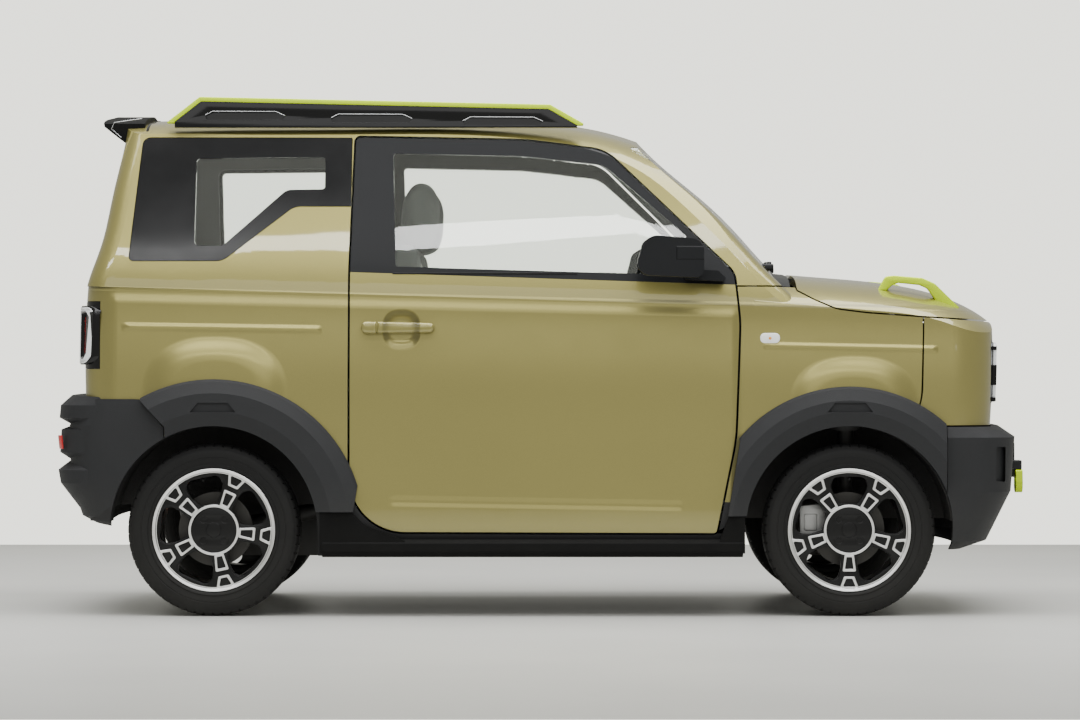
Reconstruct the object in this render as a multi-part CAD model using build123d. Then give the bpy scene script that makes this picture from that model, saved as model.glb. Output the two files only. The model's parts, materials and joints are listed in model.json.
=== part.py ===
from build123d import *
import math
import os

# All sizes in millimetres. +X forward, +Y to the car's left, +Z up; the origin lies on the ground
# below the centre of the car.

# ---- driving dimensions ----
length = 3135.0
width_over_flares = 1565.0
wheelbase = 2015.0
front_axle_x = 978.0
rear_axle_x = front_axle_x - wheelbase
body_half_width = 756.0
body_base = 190.0

# walls
side_wall = 70.0
end_wall = 60.0
top_wall = 40.0
skin = 26.0
pane = 5.0
panel_gap = 5.0
jamb_gap = 7.0
seat_gap = 0.3
running_gap = 0.05
pin_gap = 0.3

# wheels
tyre_radius = 273.0
tyre_width = 165.0
tyre_face = 740.0
tyre_mid = tyre_face - tyre_width / 2
rim_seat_radius = 177.8
rim_flange_radius = 195.0
rim_wall = 9.0
hub_radius = 52.0
spindle_radius = 24.0
disc_radius = 118.0
disc_thickness = 18.0
arch_radius = 330.0
liner_depth = 415.0

# joints
cowl_half = 638.0
hood_hinge_x = 822.0
hood_hinge_z = 1072.0
hood_hinge_y = 300.0
hood_hinge_width = 18.0
hood_pin_radius = 4.0
hood_sweep = 22.0
tailgate_hinge_x = -1268.0
kingpin_low = (front_axle_x, 594.0, 185.0)
kingpin_top = (front_axle_x, 556.0, 720.0)
strut_gap = 0.8
column_centre = (185.0, 330.0, 905.0)
column_tilt = 27.0
flap_hinge_x = 1470.0
flap_hinge_z = 840.0
flap_pin_radius = 3.0
flap_gap = 7.0

RIGHT = -1
LEFT = 1
SIDES = (RIGHT, LEFT)
SIDE_NAMES = {RIGHT: "right", LEFT: "left"}


# ---- drawing helpers ----

def corner_cut(before, here, after, radius):
    """Start, middle and end of the arc that rounds the corner at here."""
    a = Vector(before[0] - here[0], before[1] - here[1])
    b = Vector(after[0] - here[0], after[1] - here[1])
    reach = 0.48 * min(a.length, b.length)
    a = a.normalized()
    b = b.normalized()
    turn = math.pi - math.acos(max(-1.0, min(1.0, a.dot(b))))
    point = Vector(here[0], here[1])
    if radius <= 0 or turn < 1e-3:
        return point, None, point
    run = min(radius * math.tan(turn / 2), reach)
    radius = run / math.tan(turn / 2)
    inward = (a + b).normalized()
    middle = point + inward * (radius / math.cos(turn / 2) - radius)
    return point + a * run, middle, point + b * run


def outline(corners, place):
    """Closed wire of straight runs joined by tangent arcs; a corner is (u, v, radius)."""
    count = len(corners)
    cuts = [corner_cut(corners[i - 1], corners[i], corners[(i + 1) % count], corners[i][2])
            for i in range(count)]
    edges = []
    for i, (start, middle, end) in enumerate(cuts):
        if middle is not None:
            ends = [place(p.X, p.Y) for p in (start, middle, end)]
            edges.append(Edge.make_three_point_arc(*ends))
        following = cuts[(i + 1) % count][0]
        if (following - end).length > 1e-3:
            edges.append(Edge.make_line(place(end.X, end.Y), place(following.X, following.Y)))
    return Wire(edges)


def prism(corners, plane, low, high):
    """Solid with a rounded outline drawn in a plane ("XZ", "YZ" or "XY"), from low to high."""
    places = {
        "XZ": (lambda u, v: Vector(u, low, v), Vector(0, high - low, 0)),
        "YZ": (lambda u, v: Vector(low, u, v), Vector(high - low, 0, 0)),
        "XY": (lambda u, v: Vector(u, v, low), Vector(0, 0, high - low)),
    }
    place, direction = places[plane]
    return Solid.extrude(Face(outline(corners, place)), direction)


def side_prism(corners, side, inner, outer):
    """Prism along Y on one side of the car, between two distances from the centre plane."""
    return prism(corners, "XZ", side * inner, side * outer)


def block(x0, x1, y0, y1, z0, z1):
    return Pos((x0 + x1) / 2, (y0 + y1) / 2, (z0 + z1) / 2) * Box(x1 - x0, y1 - y0, z1 - z0)


def rod(start, end, radius):
    """Cylinder between two points."""
    start = Vector(*start)
    end = Vector(*end)
    axis = end - start
    return Plane(origin=start, z_dir=axis.normalized()) * Cylinder(
        radius, axis.length, align=(Align.CENTER, Align.CENTER, Align.MIN))


def cross_rod(x, z, y0, y1, radius):
    """Cylinder along Y."""
    return rod((x, min(y0, y1), z), (x, max(y0, y1), z), radius)


def mirrored(shape):
    return shape.mirror(Plane.XZ)


def pair(shape):
    """The shape on the right side with its mirror image on the left."""
    return Compound([shape, mirrored(shape)])


def solids_of(shape):
    return Compound(list(shape.solids()))


# ---- the body's outer form ----
# Level sections are stacked and lofted. Each row is height on the centre plane, slope of the level
# towards the rear, half width, front end, rear end.

lower_levels = [(body_base, 0.0, 704, 1440, -1450), (256, 0.0, 742, 1446, -1455),
                (430, 0.006, 751, 1458, -1463), (640, 0.012, 756, 1470, -1470),
                (850, 0.022, 755.5, 1477, -1472), (1003, 0.03, 752, 1474, -1464)]
cap_levels = [(1003, 0.03, 751, 1474, 640), (1046, 0.03, 744.5, 1464, 640),
              (1092, 0.03, 733, 1446, 640), (1150, 0.03, 706, 1410, 640)]
cabin_levels = [(1003, 0.03, 752, 905, -1464), (1046, 0.03, 745.5, 862, -1452),
                (1092, 0.03, 734, 812, -1436), (1210, 0.02, 698, 694, -1408),
                (1350, 0.01, 650, 545, -1386), (1500, 0.0, 596, 366, -1358),
                (1640, 0.0, 545, 188, -1336)]
hood_line = [(600, 1122), (815, 1094), (1080, 1072), (1370, 1001), (1462, 938), (1515, 860)]
roof_line = [(-1700, 1560), (-1345, 1590), (-620, 1602), (0, 1590), (200, 1560), (366, 1505), (540, 1420),
             (760, 1310), (1000, 1200)]
roof_falls = [(0, 0, 0), (300, 8, 4), (470, 27, 14), (560, 58, 26), (650, 130, 46), (720, 240, 60),
              (800, 430, 70)]
hood_falls = [(0, 0, 0), (380, 12, 0), (600, 38, 12), (700, 74, 40), (800, 160, 110)]
rear_deck = (-1700, 1200)


def level_section(level, nose, tail, side_in, end_in):
    """Closed plan outline; nose and tail hold (bow, corner radius, side reach, side step)."""
    height, slope, half, front, rear = level
    half -= side_in
    front -= end_in
    rear += end_in
    bow, radius, reach, step = nose
    back_bow, back_radius, back_reach, back_step = tail
    left = [(front - bow, half - step, radius), (front - reach, half - 6, 4000),
            (rear + back_reach, half - 6, 4000), (rear + back_bow, half - back_step, back_radius)]
    right = [(x, -y, r) for x, y, r in reversed(left)]
    corners = [(front, 0, 6000)] + left + [(rear, 0, 6000)] + right
    return outline(corners, lambda u, v: Vector(u, v, height - slope * u))


def stack(levels, nose, tail, side_in, end_in):
    return Solid.make_loft([level_section(level, nose, tail, side_in, end_in) for level in levels], False)


def crown(line, falls, floor, top_in, end_in, behind=None):
    """Solid under a line in side view that falls away towards the sides; falls are (y, drop, back).

    A straight run to the point behind, if given, comes before the curved line.
    """
    wires = []
    for y, drop, back in [(-y, drop, back) for y, drop, back in reversed(falls[1:])] + falls:
        top = [Vector(x - back - end_in, y, z - drop - top_in) for x, z in line]
        edges = [Edge.make_spline(top)]
        rear = top[0]
        if behind:
            rear = Vector(behind[0], y, behind[1])
            edges.append(Edge.make_line(rear, top[0]))
        low_front = Vector(top[-1].X, y, floor)
        low_rear = Vector(rear.X, y, floor)
        edges += [Edge.make_line(top[-1], low_front), Edge.make_line(low_front, low_rear),
                  Edge.make_line(low_rear, rear)]
        wires.append(Wire(edges))
    return Solid.make_loft(wires, False)


def body_volume(side_in=0.0, end_in=0.0, top_in=0.0):
    """The body's closed form, each face moved in by its own amount."""
    lower = stack(lower_levels, (38, 150, 480, 40), (22, 105, 420, 34), side_in, end_in)
    cap = stack(cap_levels, (38, 150, 480, 40), (22, 60, 60, 6), side_in + 0.5, end_in)
    cabin = stack(cabin_levels, (72, 62, 330, 12), (22, 64, 400, 26), side_in, end_in)
    front = (lower + cap) & crown(hood_line, hood_falls, 100, top_in, end_in, rear_deck)
    upper = cabin & crown(roof_line, roof_falls, 900, top_in, 0)
    return (front + upper).solids()[0]


# ---- outlines of the panels, in side view unless named otherwise ----

door_outline = [(-590, 1524, 15), (-60, 1514, 600), (205, 1482, 130), (612, 1088, 60), (629, 930, 400),
                (616, 560, 500), (556, 264, 10), (-606, 268, 175), (-604, 1091, 2000)]
belt_rear = (-700, 1094)
belt_front = (700, 1048)
door_glass_outline = [(-472, 1473, 12), (-60, 1464, 500), (200, 1436, 100), (462, 1208, 8),
                      (430, 1082, 8), (-460, 1108, 10)]
quarter_outline = [(-1272, 1524, 25), (-604, 1522, 3), (-604, 1302, 3), (-785, 1302, 60),
                   (-1010, 1127, 60), (-1308, 1127, 14)]
quarter_glass_outline = [(-1100, 1456, 14), (-688, 1460, 10), (-688, 1356, 10), (-810, 1354, 40),
                         (-1010, 1174, 30), (-1100, 1174, 16)]
hood_outline = [(816, 1400, 0), (816, 1036, 10), (868, 1007, 60), (936, 977, 120), (1030, 965, 300),
                (1213, 952, 0), (1400, 941, 0), (1700, 930, 0), (1700, 1400, 0)]
wing_outline = [(480, 1044, 0), (1211, 1044, 0), (1211, 900, 0), (1205, 690, 200), (1150, 520, 60),
                (978, 480, 0), (480, 230, 0)]
nose_outline = [(1216, 1000, 0), (1700, 1000, 0), (1700, 605, 0), (1180, 605, 0), (1211, 690, 200),
                (1216, 900, 0)]
tailgate_outline = [(-548, 712, 40), (548, 712, 40), (556, 1000, 200), (596, 1100, 90),
                    (512, 1700, 0), (-512, 1700, 0), (-596, 1100, 90), (-556, 1000, 200)]
rear_glass_outline = [(-540, 1165, 40), (540, 1165, 40), (486, 1500, 50), (-486, 1500, 50)]
windscreen_outline = [(-652, 1104, 50), (652, 1104, 50), (528, 1496, 60), (-528, 1496, 60)]
lamp_panel_outline = [(-630, 640, 70), (630, 640, 70), (630, 905, 70), (-630, 905, 70)]
head_lamp_outline = [(318, 672, 30), (594, 672, 30), (594, 874, 30), (318, 874, 30)]
charge_flap_outline = [(-92, 705, 22), (92, 705, 22), (92, 846, 22), (-92, 846, 22)]
tail_lamp_outline = [(566, 784, 30), (800, 784, 0), (800, 998, 0), (566, 998, 30)]
rail_outline = [(-1196, 1560, 0), (-1196, 1590, 10), (-1092, 1655, 40), (30, 1630, 120), (148, 1566, 20),
                (148, 1540, 0)]
rail_slots = [(-1074, -818), (-671, -412), (-249, 7)]
spoiler_outline = [(-1274, 1500, 0), (-1274, 1640, 0), (-1372, 1640, 0), (-1408, 1580, 14), (-1404, 1562, 8),
                   (-1340, 1512, 0)]
rail_inner = 540.0
rail_outer = 588.0
spoiler_rise = 14.0
flare_radius = {"front": 455.0, "rear": 478.0}
front_flare_outline = [(592, 318, 0), (631, 556, 20), (480, 900, 0), (1284, 900, 0), (1284, 318, 0)]
rear_flare_outline = [(-594, 331, 0), (-500, 900, 0), (-1269, 900, 0), (-1269, 685, 0), (-1190, 600, 0),
                      (-1190, 331, 0)]
tow_eye_y = 320.0
tow_eye_z = 417.0
tow_eye_radius = 17.0
tow_hook_thickness = 22.0
sill_top = 244.0
hood_rear_x = 816.0
glass_lap = 26.0


def grown(corners, amount):
    """The same outline pushed out by amount (pulled in if negative)."""
    ring = list(zip(corners, corners[1:] + corners[:1]))
    turn = 1.0 if sum(a[0] * b[1] - b[0] * a[1] for a, b in ring) > 0 else -1.0
    result = []
    for i, (u, v, radius) in enumerate(corners):
        before = corners[i - 1]
        after = corners[(i + 1) % len(corners)]
        first = Vector(u - before[0], v - before[1]).normalized()
        second = Vector(after[0] - u, after[1] - v).normalized()
        out_first = Vector(first.Y, -first.X) * turn
        out_second = Vector(second.Y, -second.X) * turn
        both = (out_first + out_second).normalized()
        moved = Vector(u, v) + both * (amount / both.dot(out_first))
        result.append((moved.X, moved.Y, max(radius + amount, 1.0) if radius > 0 else 0.0))
    return result


def across(corners, side):
    """A front or rear view outline given for the left side, drawn for either side."""
    return [(side * y, z, r) for y, z, r in corners]


def joined(shapes):
    total = shapes[0]
    for shape in shapes[1:]:
        total = total + shape
    return total


def cut_by(shape, tools):
    for tool in tools:
        shape = shape - tool
    return shape


OUTER = body_volume()
UNDER_SKIN = body_volume(skin, skin, skin)
CABIN = body_volume(side_wall, end_wall, top_wall)
UNDER_GLASS = body_volume(pane, pane, pane)
SKIN = OUTER - UNDER_SKIN
LINING = UNDER_SKIN - CABIN
SHELL = OUTER - CABIN
PANE = OUTER - UNDER_GLASS


def below_belt(offset=0.0):
    """Everything below the door's waist line, as a cutting tool."""
    return prism([(belt_rear[0], belt_rear[1] + offset, 0), (belt_front[0], belt_front[1] + offset, 0),
                  (belt_front[0], 0, 0), (belt_rear[0], 0, 0)], "XZ", -900, 900)


def drum(x, side, inner, outer, radius):
    """Cylinder on a wheel's axis, between two distances from the centre plane."""
    return cross_rod(x, tyre_radius, side * inner, side * outer, radius)


def arch_tools(x, inner=liner_depth, radius=arch_radius):
    """Wheel openings on both sides, open downwards."""
    tools = []
    for s in SIDES:
        tools.append(drum(x, s, inner, 900, radius))
        y0, y1 = sorted((s * inner, s * 900))
        tools.append(block(x - radius, x + radius, y0, y1, 0, tyre_radius))
    return tools


# ---- body ----

def make_body_shell():
    shell = SHELL - block(800, 1800, -900, 900, 0, 1700)
    shell = shell - block(480, 1800, -900, 900, 0, 1044 + panel_gap)
    rocker = SHELL & block(400, 612, -900, 900, 0, 262)
    shell = shell + rocker
    tools = [side_prism(grown(door_outline, jamb_gap), s, 400, 900) for s in SIDES]
    tools += [SKIN & side_prism(grown(quarter_outline, 2), s, 400, 900) for s in SIDES]
    tools += [side_prism(grown(quarter_glass_outline, 12), s, 400, 900) for s in SIDES]
    tools.append(prism(grown(tailgate_outline, jamb_gap), "YZ", -1700, tailgate_hinge_x + 2 + jamb_gap))
    tools.append(PANE & prism(grown(windscreen_outline, 1.5), "YZ", 290, 900))
    tools.append(prism(grown(windscreen_outline, -glass_lap), "YZ", 290, 900))
    tools.append(block(742, 830, -640, 640, 1000, 1104))
    tools.append(block(640, 830, -610, 610, 1000, 1066))
    tools += [SKIN & prism(grown(across(tail_lamp_outline, s), 1), "YZ", -1700, -1398) for s in SIDES]
    tools += arch_tools(rear_axle_x)
    tools.append(block(-1700, -600, -600, 600, 0, 300))
    tools.append(block(-1700, rear_axle_x, -900, 900, 0, 300))
    return cut_by(shell, tools)


def make_floor_pan():
    cabin = [block(-650, 715, -900, 900, 300, 325), block(690, 715, -900, 900, 300, 1040),
             block(-662, -638, -900, 900, 300, 505), block(-1500, -638, -900, 900, 480, 505)]
    front = []
    for s in SIDES:
        house = drum(rear_axle_x, s, liner_depth - 20, 690, arch_radius + 20)
        cabin.append(house & block(-1700, 0, -900, 900, 345, 700))
        house = drum(front_axle_x, s, liner_depth - 20, 660, arch_radius + 20)
        front.append(house & block(660, 1500, -900, 900, 300, 700))
        y0, y1 = sorted((s * 335, s * 396))
        front.append(block(700, 1420, y0, y1, 430, 510))
        front.append(rod((kingpin_top[0], s * kingpin_top[1], 590),
                         (kingpin_top[0], s * kingpin_top[1], kingpin_top[2] + 22), 88))
    front.append(block(1385, 1420, -396, 396, 430, 510))
    pan = (joined(cabin) & CABIN) + (joined(front) & UNDER_SKIN)
    tools = arch_tools(front_axle_x) + arch_tools(rear_axle_x)
    for s in SIDES:
        tools.append(rod((kingpin_top[0], s * kingpin_top[1], 500),
                         (kingpin_top[0], s * kingpin_top[1], kingpin_top[2]), 72))
    return cut_by(pan, tools)


def make_front_wings():
    wing = SKIN & side_prism(wing_outline, RIGHT, 400, 900)
    tools = [side_prism(grown(door_outline, jamb_gap), RIGHT, 300, 900),
             side_prism(grown(hood_outline, panel_gap), RIGHT, 300, 900),
             block(600, hood_rear_x, -(cowl_half + panel_gap), 0, 1000, 1200)]
    wing = cut_by(wing, tools + arch_tools(front_axle_x, 300))
    return pair(wing.solids().sort_by(SortBy.VOLUME)[-1])


def make_nose_panel():
    nose = SKIN & prism(nose_outline, "XZ", -900, 900)
    nose = nose - prism(grown(hood_outline, panel_gap), "XZ", -900, 900)
    return nose - prism(grown(lamp_panel_outline, seat_gap), "YZ", 1300, 1700)


def make_lamp_panel():
    panel = SKIN & prism(lamp_panel_outline, "YZ", 1300, 1700)
    tools = [prism(grown(across(head_lamp_outline, s), seat_gap), "YZ", 1300, 1700) for s in SIDES]
    tools.append(prism(grown(charge_flap_outline, flap_gap), "YZ", 1300, 1700))
    edge = charge_flap_outline[1][0] + flap_gap
    for s in SIDES:
        tools.append(cross_rod(flap_hinge_x, flap_hinge_z, s * (edge - 12), s * (edge + 9),
                               flap_pin_radius + pin_gap))
    return cut_by(panel, tools)


def make_head_lamps():
    lamps = [SKIN & prism(across(head_lamp_outline, s), "YZ", 1300, 1700) for s in SIDES]
    return Compound(lamps)


def make_charge_flap():
    lid = SKIN & prism(charge_flap_outline, "YZ", 1300, 1700)
    edge = charge_flap_outline[1][0] + flap_gap
    return lid + cross_rod(flap_hinge_x, flap_hinge_z, -(edge + 8), edge + 8, flap_pin_radius)


def make_hood():
    """Clamshell hood with a slot from below and a bore for each hinge arm."""
    lid = SKIN & prism(hood_outline, "XZ", -900, 900)
    for s in SIDES:
        y = s * hood_hinge_y
        half = hood_hinge_width / 2 + 2
        slot = block(hood_rear_x - 10, hood_hinge_x + 14, y - half, y + half, 1000, 1200) & UNDER_GLASS
        notch = block(hood_rear_x - 10, hood_hinge_x + 4, y - half, y + half, 1000, 1200)
        bore = cross_rod(hood_hinge_x, hood_hinge_z, y - 26, y + 26, hood_pin_radius + pin_gap)
        lid = lid - slot - notch - bore
    return lid


def make_hood_handles():
    y = 566.0
    points = [(1078, 985), (1112, 1070), (1217, 1068), (1330, 975)]
    bar = []
    for (x0, z0), (x1, z1) in zip(points, points[1:]):
        bar.append(rod((x0, -y, z0), (x1, -y, z1), 12))
    for x, z in points[1:-1]:
        bar.append(Pos(x, -y, z) * Sphere(12))
    return pair(joined(bar) - OUTER)


def make_cowl():
    front = hood_hinge_x - hood_sweep - panel_gap
    cowl = (OUTER & block(744, front, -cowl_half, cowl_half, 1041, 1103.7)) + (
        UNDER_SKIN & block(692, 760, -600, 600, 1040.3, 1062))
    for s in SIDES:
        y = s * hood_hinge_y
        half = hood_hinge_width / 2
        arm = block(front - 10, hood_hinge_x, y - half, y + half, hood_hinge_z - 5, hood_hinge_z + 5)
        eye = cross_rod(hood_hinge_x, hood_hinge_z, y - half, y + half, 5.0)
        pin = cross_rod(hood_hinge_x, hood_hinge_z, y - 25, y + 25, hood_pin_radius)
        cowl = cowl + arm + eye + pin
    return cowl


def make_fixed_glass():
    screen = PANE & prism(windscreen_outline, "YZ", 290, 900)
    quarters = PANE & side_prism(grown(quarter_glass_outline, -seat_gap), RIGHT, 400, 900)
    return Compound(list(solids_of(screen).solids()) + list(pair(quarters).solids()))


def make_quarter_panels():
    panel = SKIN & side_prism(quarter_outline, RIGHT, 400, 900)
    panel = panel - prism(grown(tailgate_outline, jamb_gap), "YZ", -1700, tailgate_hinge_x)
    return pair(panel - side_prism(quarter_glass_outline, RIGHT, 400, 900))


def make_tail_lamps():
    return Compound([(SKIN & prism(across(tail_lamp_outline, s), "YZ", -1700, -1399)).solids()[0]
                     for s in SIDES])


def make_roof_rails():
    rail = side_prism(rail_outline, RIGHT, rail_inner, rail_outer) - OUTER
    for x0, x1 in rail_slots:
        slot = [(x0, 1572, 12), (x1, 1566, 12), (x1, 1606, 12), (x0, 1612, 12)]
        rail = rail - side_prism(slot, RIGHT, rail_inner - 10, rail_outer + 10)
    return pair(rail)


# ---- cladding ----

def flare(x, clip, radius):
    """Ring around a wheel arch, standing proud of the body."""
    face = width_over_flares / 2
    section = [(arch_radius, 690, 0), (arch_radius, face - 6, 0), (arch_radius + 8, face, 0),
               (radius - 32, face, 0), (radius, face - 24, 0), (radius, 690, 0)]
    wire = outline(section, lambda u, v: Vector(x + u, -v, tyre_radius))
    ring = Solid.revolve(Face(wire), 360, Axis((x, 0, tyre_radius), (0, 1, 0)))
    ring = ring & side_prism(clip, RIGHT, 600, 900)
    return ring - OUTER


def make_wheel_flares():
    front = flare(front_axle_x, front_flare_outline, flare_radius["front"])
    rear = flare(rear_axle_x, rear_flare_outline, flare_radius["rear"])
    return Compound(list(pair(front).solids()) + list(pair(rear).solids()))


def make_sill_covers():
    section = [(690, 188, 0), (748, 188, 0), (772, 206, 6), (772, 232, 6), (760, sill_top, 0), (690, sill_top, 0)]
    x0 = -592.0
    x1 = 590.0
    bar = prism([(-y, z, r) for y, z, r in section], "YZ", x0 - 100, x1 + 50)
    rear_end = side_prism([(-700, 329, 0), (-596, 329, 0), (-560, 290, 60), (-430, 240, 0), (-430, 200, 0),
                           (-700, 200, 0)], RIGHT, 690, 768)
    front_end = side_prism([(646, 316, 0), (594, 316, 0), (566, 240, 0), (566, 200, 0), (646, 200, 0)],
                           RIGHT, 690, 768)
    cover = joined([bar, rear_end, front_end]) - OUTER
    cover = cut_by(cover, arch_tools(front_axle_x, 300) + arch_tools(rear_axle_x, 300))
    return pair(cover)


def bumper_stack(levels, nose, tail, wall):
    outer = stack(levels, nose, tail, 0, 0)
    inner = stack([(levels[0][0] - 10, 0.0) + levels[0][2:]] + levels[1:-1]
                  + [(levels[-1][0] + 10, 0.0) + levels[-1][2:]], nose, tail, wall, wall)
    return outer - inner


def make_front_bumper():
    levels = [(216, 0.0, 712, 1380, 700), (246, 0.0, 742, 1448, 700), (399, 0.0, 770, 1524, 700),
              (467, 0.0, 774, 1535, 700), (560, 0.0, 774, 1540, 700), (602, 0.0, 766, 1496, 700)]
    shell = bumper_stack(levels, (52, 190, 400, 46), (10, 20, 60, 4), 34)
    shell = shell & block(1288, 1700, -900, 900, 0, 800)
    shell = cut_by(shell, arch_tools(front_axle_x, 300))
    beam = block(1420.3, 1500, -380, 380, 430, 510)
    lugs = [block(1495, length / 2 - 2, s * tow_eye_y - 30, s * tow_eye_y + 30, 456, 486) for s in SIDES]
    return joined([shell, beam] + lugs)


def make_tow_hooks():
    hooks = []
    for s in SIDES:
        y = s * tow_eye_y
        ring = [(y - 42, tow_eye_z - 36, 34), (y + 42, tow_eye_z - 36, 34), (y + 30, 455.7, 8), (y - 30, 455.7, 8)]
        hook = prism(ring, "YZ", length / 2 - tow_hook_thickness, length / 2)
        hooks.append(hook - rod((1500, y, tow_eye_z), (1600, y, tow_eye_z), tow_eye_radius))
    return Compound(hooks)


def make_rear_bumper():
    def levels(rows):
        return [(z, 0.0, half, -900, -rear) for z, half, rear in rows]
    nose = (10, 20, 60, 4)
    tail = (34, 130, 380, 40)
    core = stack(levels([(272, 716, 1412), (316, 746, 1490), (420, 764, 1526), (604, 768, 1530),
                         (688, 764, 1500)]), nose, tail, 0, 0)
    lobes = [[(612, 744, 1534), (640, 750, 1562), (676, 748, 1556), (703, 742, 1500)],
             [(502, 744, 1536), (520, 750, 1562), (590, 750, 1560), (600, 744, 1536)],
             [(330, 740, 1505), (420, 750, 1560), (462, 750, length / 2), (486, 744, 1540)]]
    shell = joined([core] + [stack(levels(rows), nose, tail, 0, 0) for rows in lobes])
    inside = stack(levels([(200, 690, 1440), (400, 730, 1476), (720, 730, 1474)]), nose, tail, 0, 0)
    shell = shell - inside
    clip = [(-1273, 687, 0), (-1700, 712, 0), (-1700, 200, 0), (-1194, 200, 0), (-1194, 598, 0)]
    shell = shell & prism(clip, "XZ", -900, 900)
    shell = cut_by(shell, arch_tools(rear_axle_x, 300))
    return shell - OUTER


# ---- doors, tailgate ----

def opening_panel(corners, side):
    """Full wall inside an outline, its inner layer stepped back so that it can swing."""
    face = SKIN & side_prism(corners, side, 300, 900)
    core = LINING & side_prism(grown(corners, -20), side, 300, 900)
    return face + core


def make_door(side):
    return opening_panel(door_outline, side) & below_belt(-seat_gap)


def make_mirror(side):
    y0, y1 = sorted((side * 792, side * 892))
    shape = prism([(290, 1080, 40), (512, 1070, 26), (512, 1190, 40), (330, 1206, 50)], "XZ", y0, y1)
    arm = prism([(455, 1066, 8), (596, 1060, 8), (560, 1094, 10), (455, 1100, 8)], "XZ",
                *sorted((side * 690, side * 800)))
    return shape + (arm - UNDER_SKIN)


def make_door_frame(side):
    """Black window surround with the mirror that it carries."""
    frame = opening_panel(door_outline, side) - below_belt()
    frame = frame - side_prism(door_glass_outline, side, 300, 900)
    return frame + make_mirror(side)


def make_door_glass(side):
    return PANE & side_prism(grown(door_glass_outline, -seat_gap), side, 300, 900)


def make_tailgate():
    whole = SHELL & prism(tailgate_outline, "YZ", -1700, tailgate_hinge_x)
    whole = whole - (PANE & prism(grown(rear_glass_outline, 1.5), "YZ", -1700, -1280))
    return whole - prism(grown(rear_glass_outline, -glass_lap), "YZ", -1700, -1200)


def make_tailgate_glass():
    return PANE & prism(rear_glass_outline, "YZ", -1700, -1280)


def make_spoiler():
    deck = [(-1700, 1600), (-1345, 1594), (-620, 1602), (0, 1590)]
    wing = prism(spoiler_outline, "XZ", -505, 505) & crown(deck, roof_falls, 900, -spoiler_rise, 0)
    return (wing - OUTER).solids().sort_by(SortBy.VOLUME)[-1]


# ---- cabin ----

def make_seats():
    seats = []
    back = [(-300, 470, 30), (-395, 1140, 40), (-340, 1210, 30), (-330, 1400, 30), (-440, 1400, 40),
            (-455, 1230, 30), (-520, 1130, 40), (-420, 460, 40)]
    cushion = [(-400, 400, 20), (130, 430, 50), (120, 560, 60), (-330, 520, 20), (-420, 520, 20)]
    bench_half = liner_depth - 27
    foot = [(-360, 325.3, 0), (60, 325.3, 0), (60, 440, 0), (-360, 440, 0)]
    for s in SIDES:
        y0, y1 = sorted((s * 90, s * 560))
        f0, f1 = sorted((s * 150, s * 500))
        seat = prism(cushion, "XZ", y0, y1) + prism(back, "XZ", y0 + 10, y1 - 10)
        seats.append(seat + prism(foot, "XZ", f0, f1))
    bench = prism([(-640, 505.3, 0), (-640, 620, 40), (-1000, 590, 0), (-1120, 1130, 40), (-1230, 1130, 30),
                   (-1130, 505.3, 0)], "XZ", -bench_half, bench_half)
    return Compound(seats + [bench])


def make_dashboard():
    half = 658.0
    body = prism([(689.7, 720, 0), (689.7, 1036, 0), (600, 1030, 60), (455, 985, 60), (440, 850, 60),
                  (560, 720, 60)], "XZ", -half, half)
    tilt = math.radians(column_tilt)
    start = (column_centre[0] + 26 * math.cos(tilt), column_centre[1], column_centre[2] - 26 * math.sin(tilt))
    end = (column_centre[0] + 420 * math.cos(tilt), column_centre[1], column_centre[2] - 420 * math.sin(tilt))
    return body + rod(start, end, 26)


def make_steering_wheel():
    tilt = math.radians(column_tilt)
    plane = Plane(origin=column_centre, z_dir=(-math.cos(tilt), 0, math.sin(tilt)))
    wheel = Torus(178, 14) + Pos(0, 0, -12) * Cylinder(56, 26)
    wheel = wheel + Pos(0, 0, -8) * Box(34, 345, 12)
    down = -1 if plane.x_dir.Z > 0 else 1
    wheel = wheel + Pos(down * 88, 0, -8) * Box(170, 40, 12)
    return plane * wheel


# ---- running gear ----

def make_battery_pack():
    return block(-636, 560, -560, 560, 196, 299.7)


def make_motor_block():
    return block(rear_axle_x + 44.3, rear_axle_x + 330, -190, 210, 170, 430)


def make_rear_axle():
    pieces = [cross_rod(rear_axle_x, tyre_radius, -520, 520, 44)]
    for s in SIDES:
        pieces.append(cross_rod(rear_axle_x, tyre_radius, s * 515, s * (tyre_mid + 44), spindle_radius))
        pieces.append(cross_rod(rear_axle_x, tyre_radius, s * 500, s * 545, 78))
        pieces.append(rod((rear_axle_x, s * 340, 262), (-690, s * 340, 330), 26))
        pieces.append(block(-700, -662.3, s * 340 - 30, s * 340 + 30, 305, 370))
        pieces.append(rod((-1090, s * 330, 262), (-1090, s * 330, 479.7), 46))
        pieces.append(block(-1140, -1020, s * 330 - 44, s * 330 + 44, 240, 275))
        pieces.append(rod((-1150, s * 250, 258), (-1190, s * 250, 460), 20))
        pieces.append(rod((-1190, s * 250, 440), (-1190, s * 250, 479.7), 14))
        pieces.append(block(-1170, -1040, s * 250 - 26, s * 250 + 26, 235, 275))
    return joined(pieces)


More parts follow.
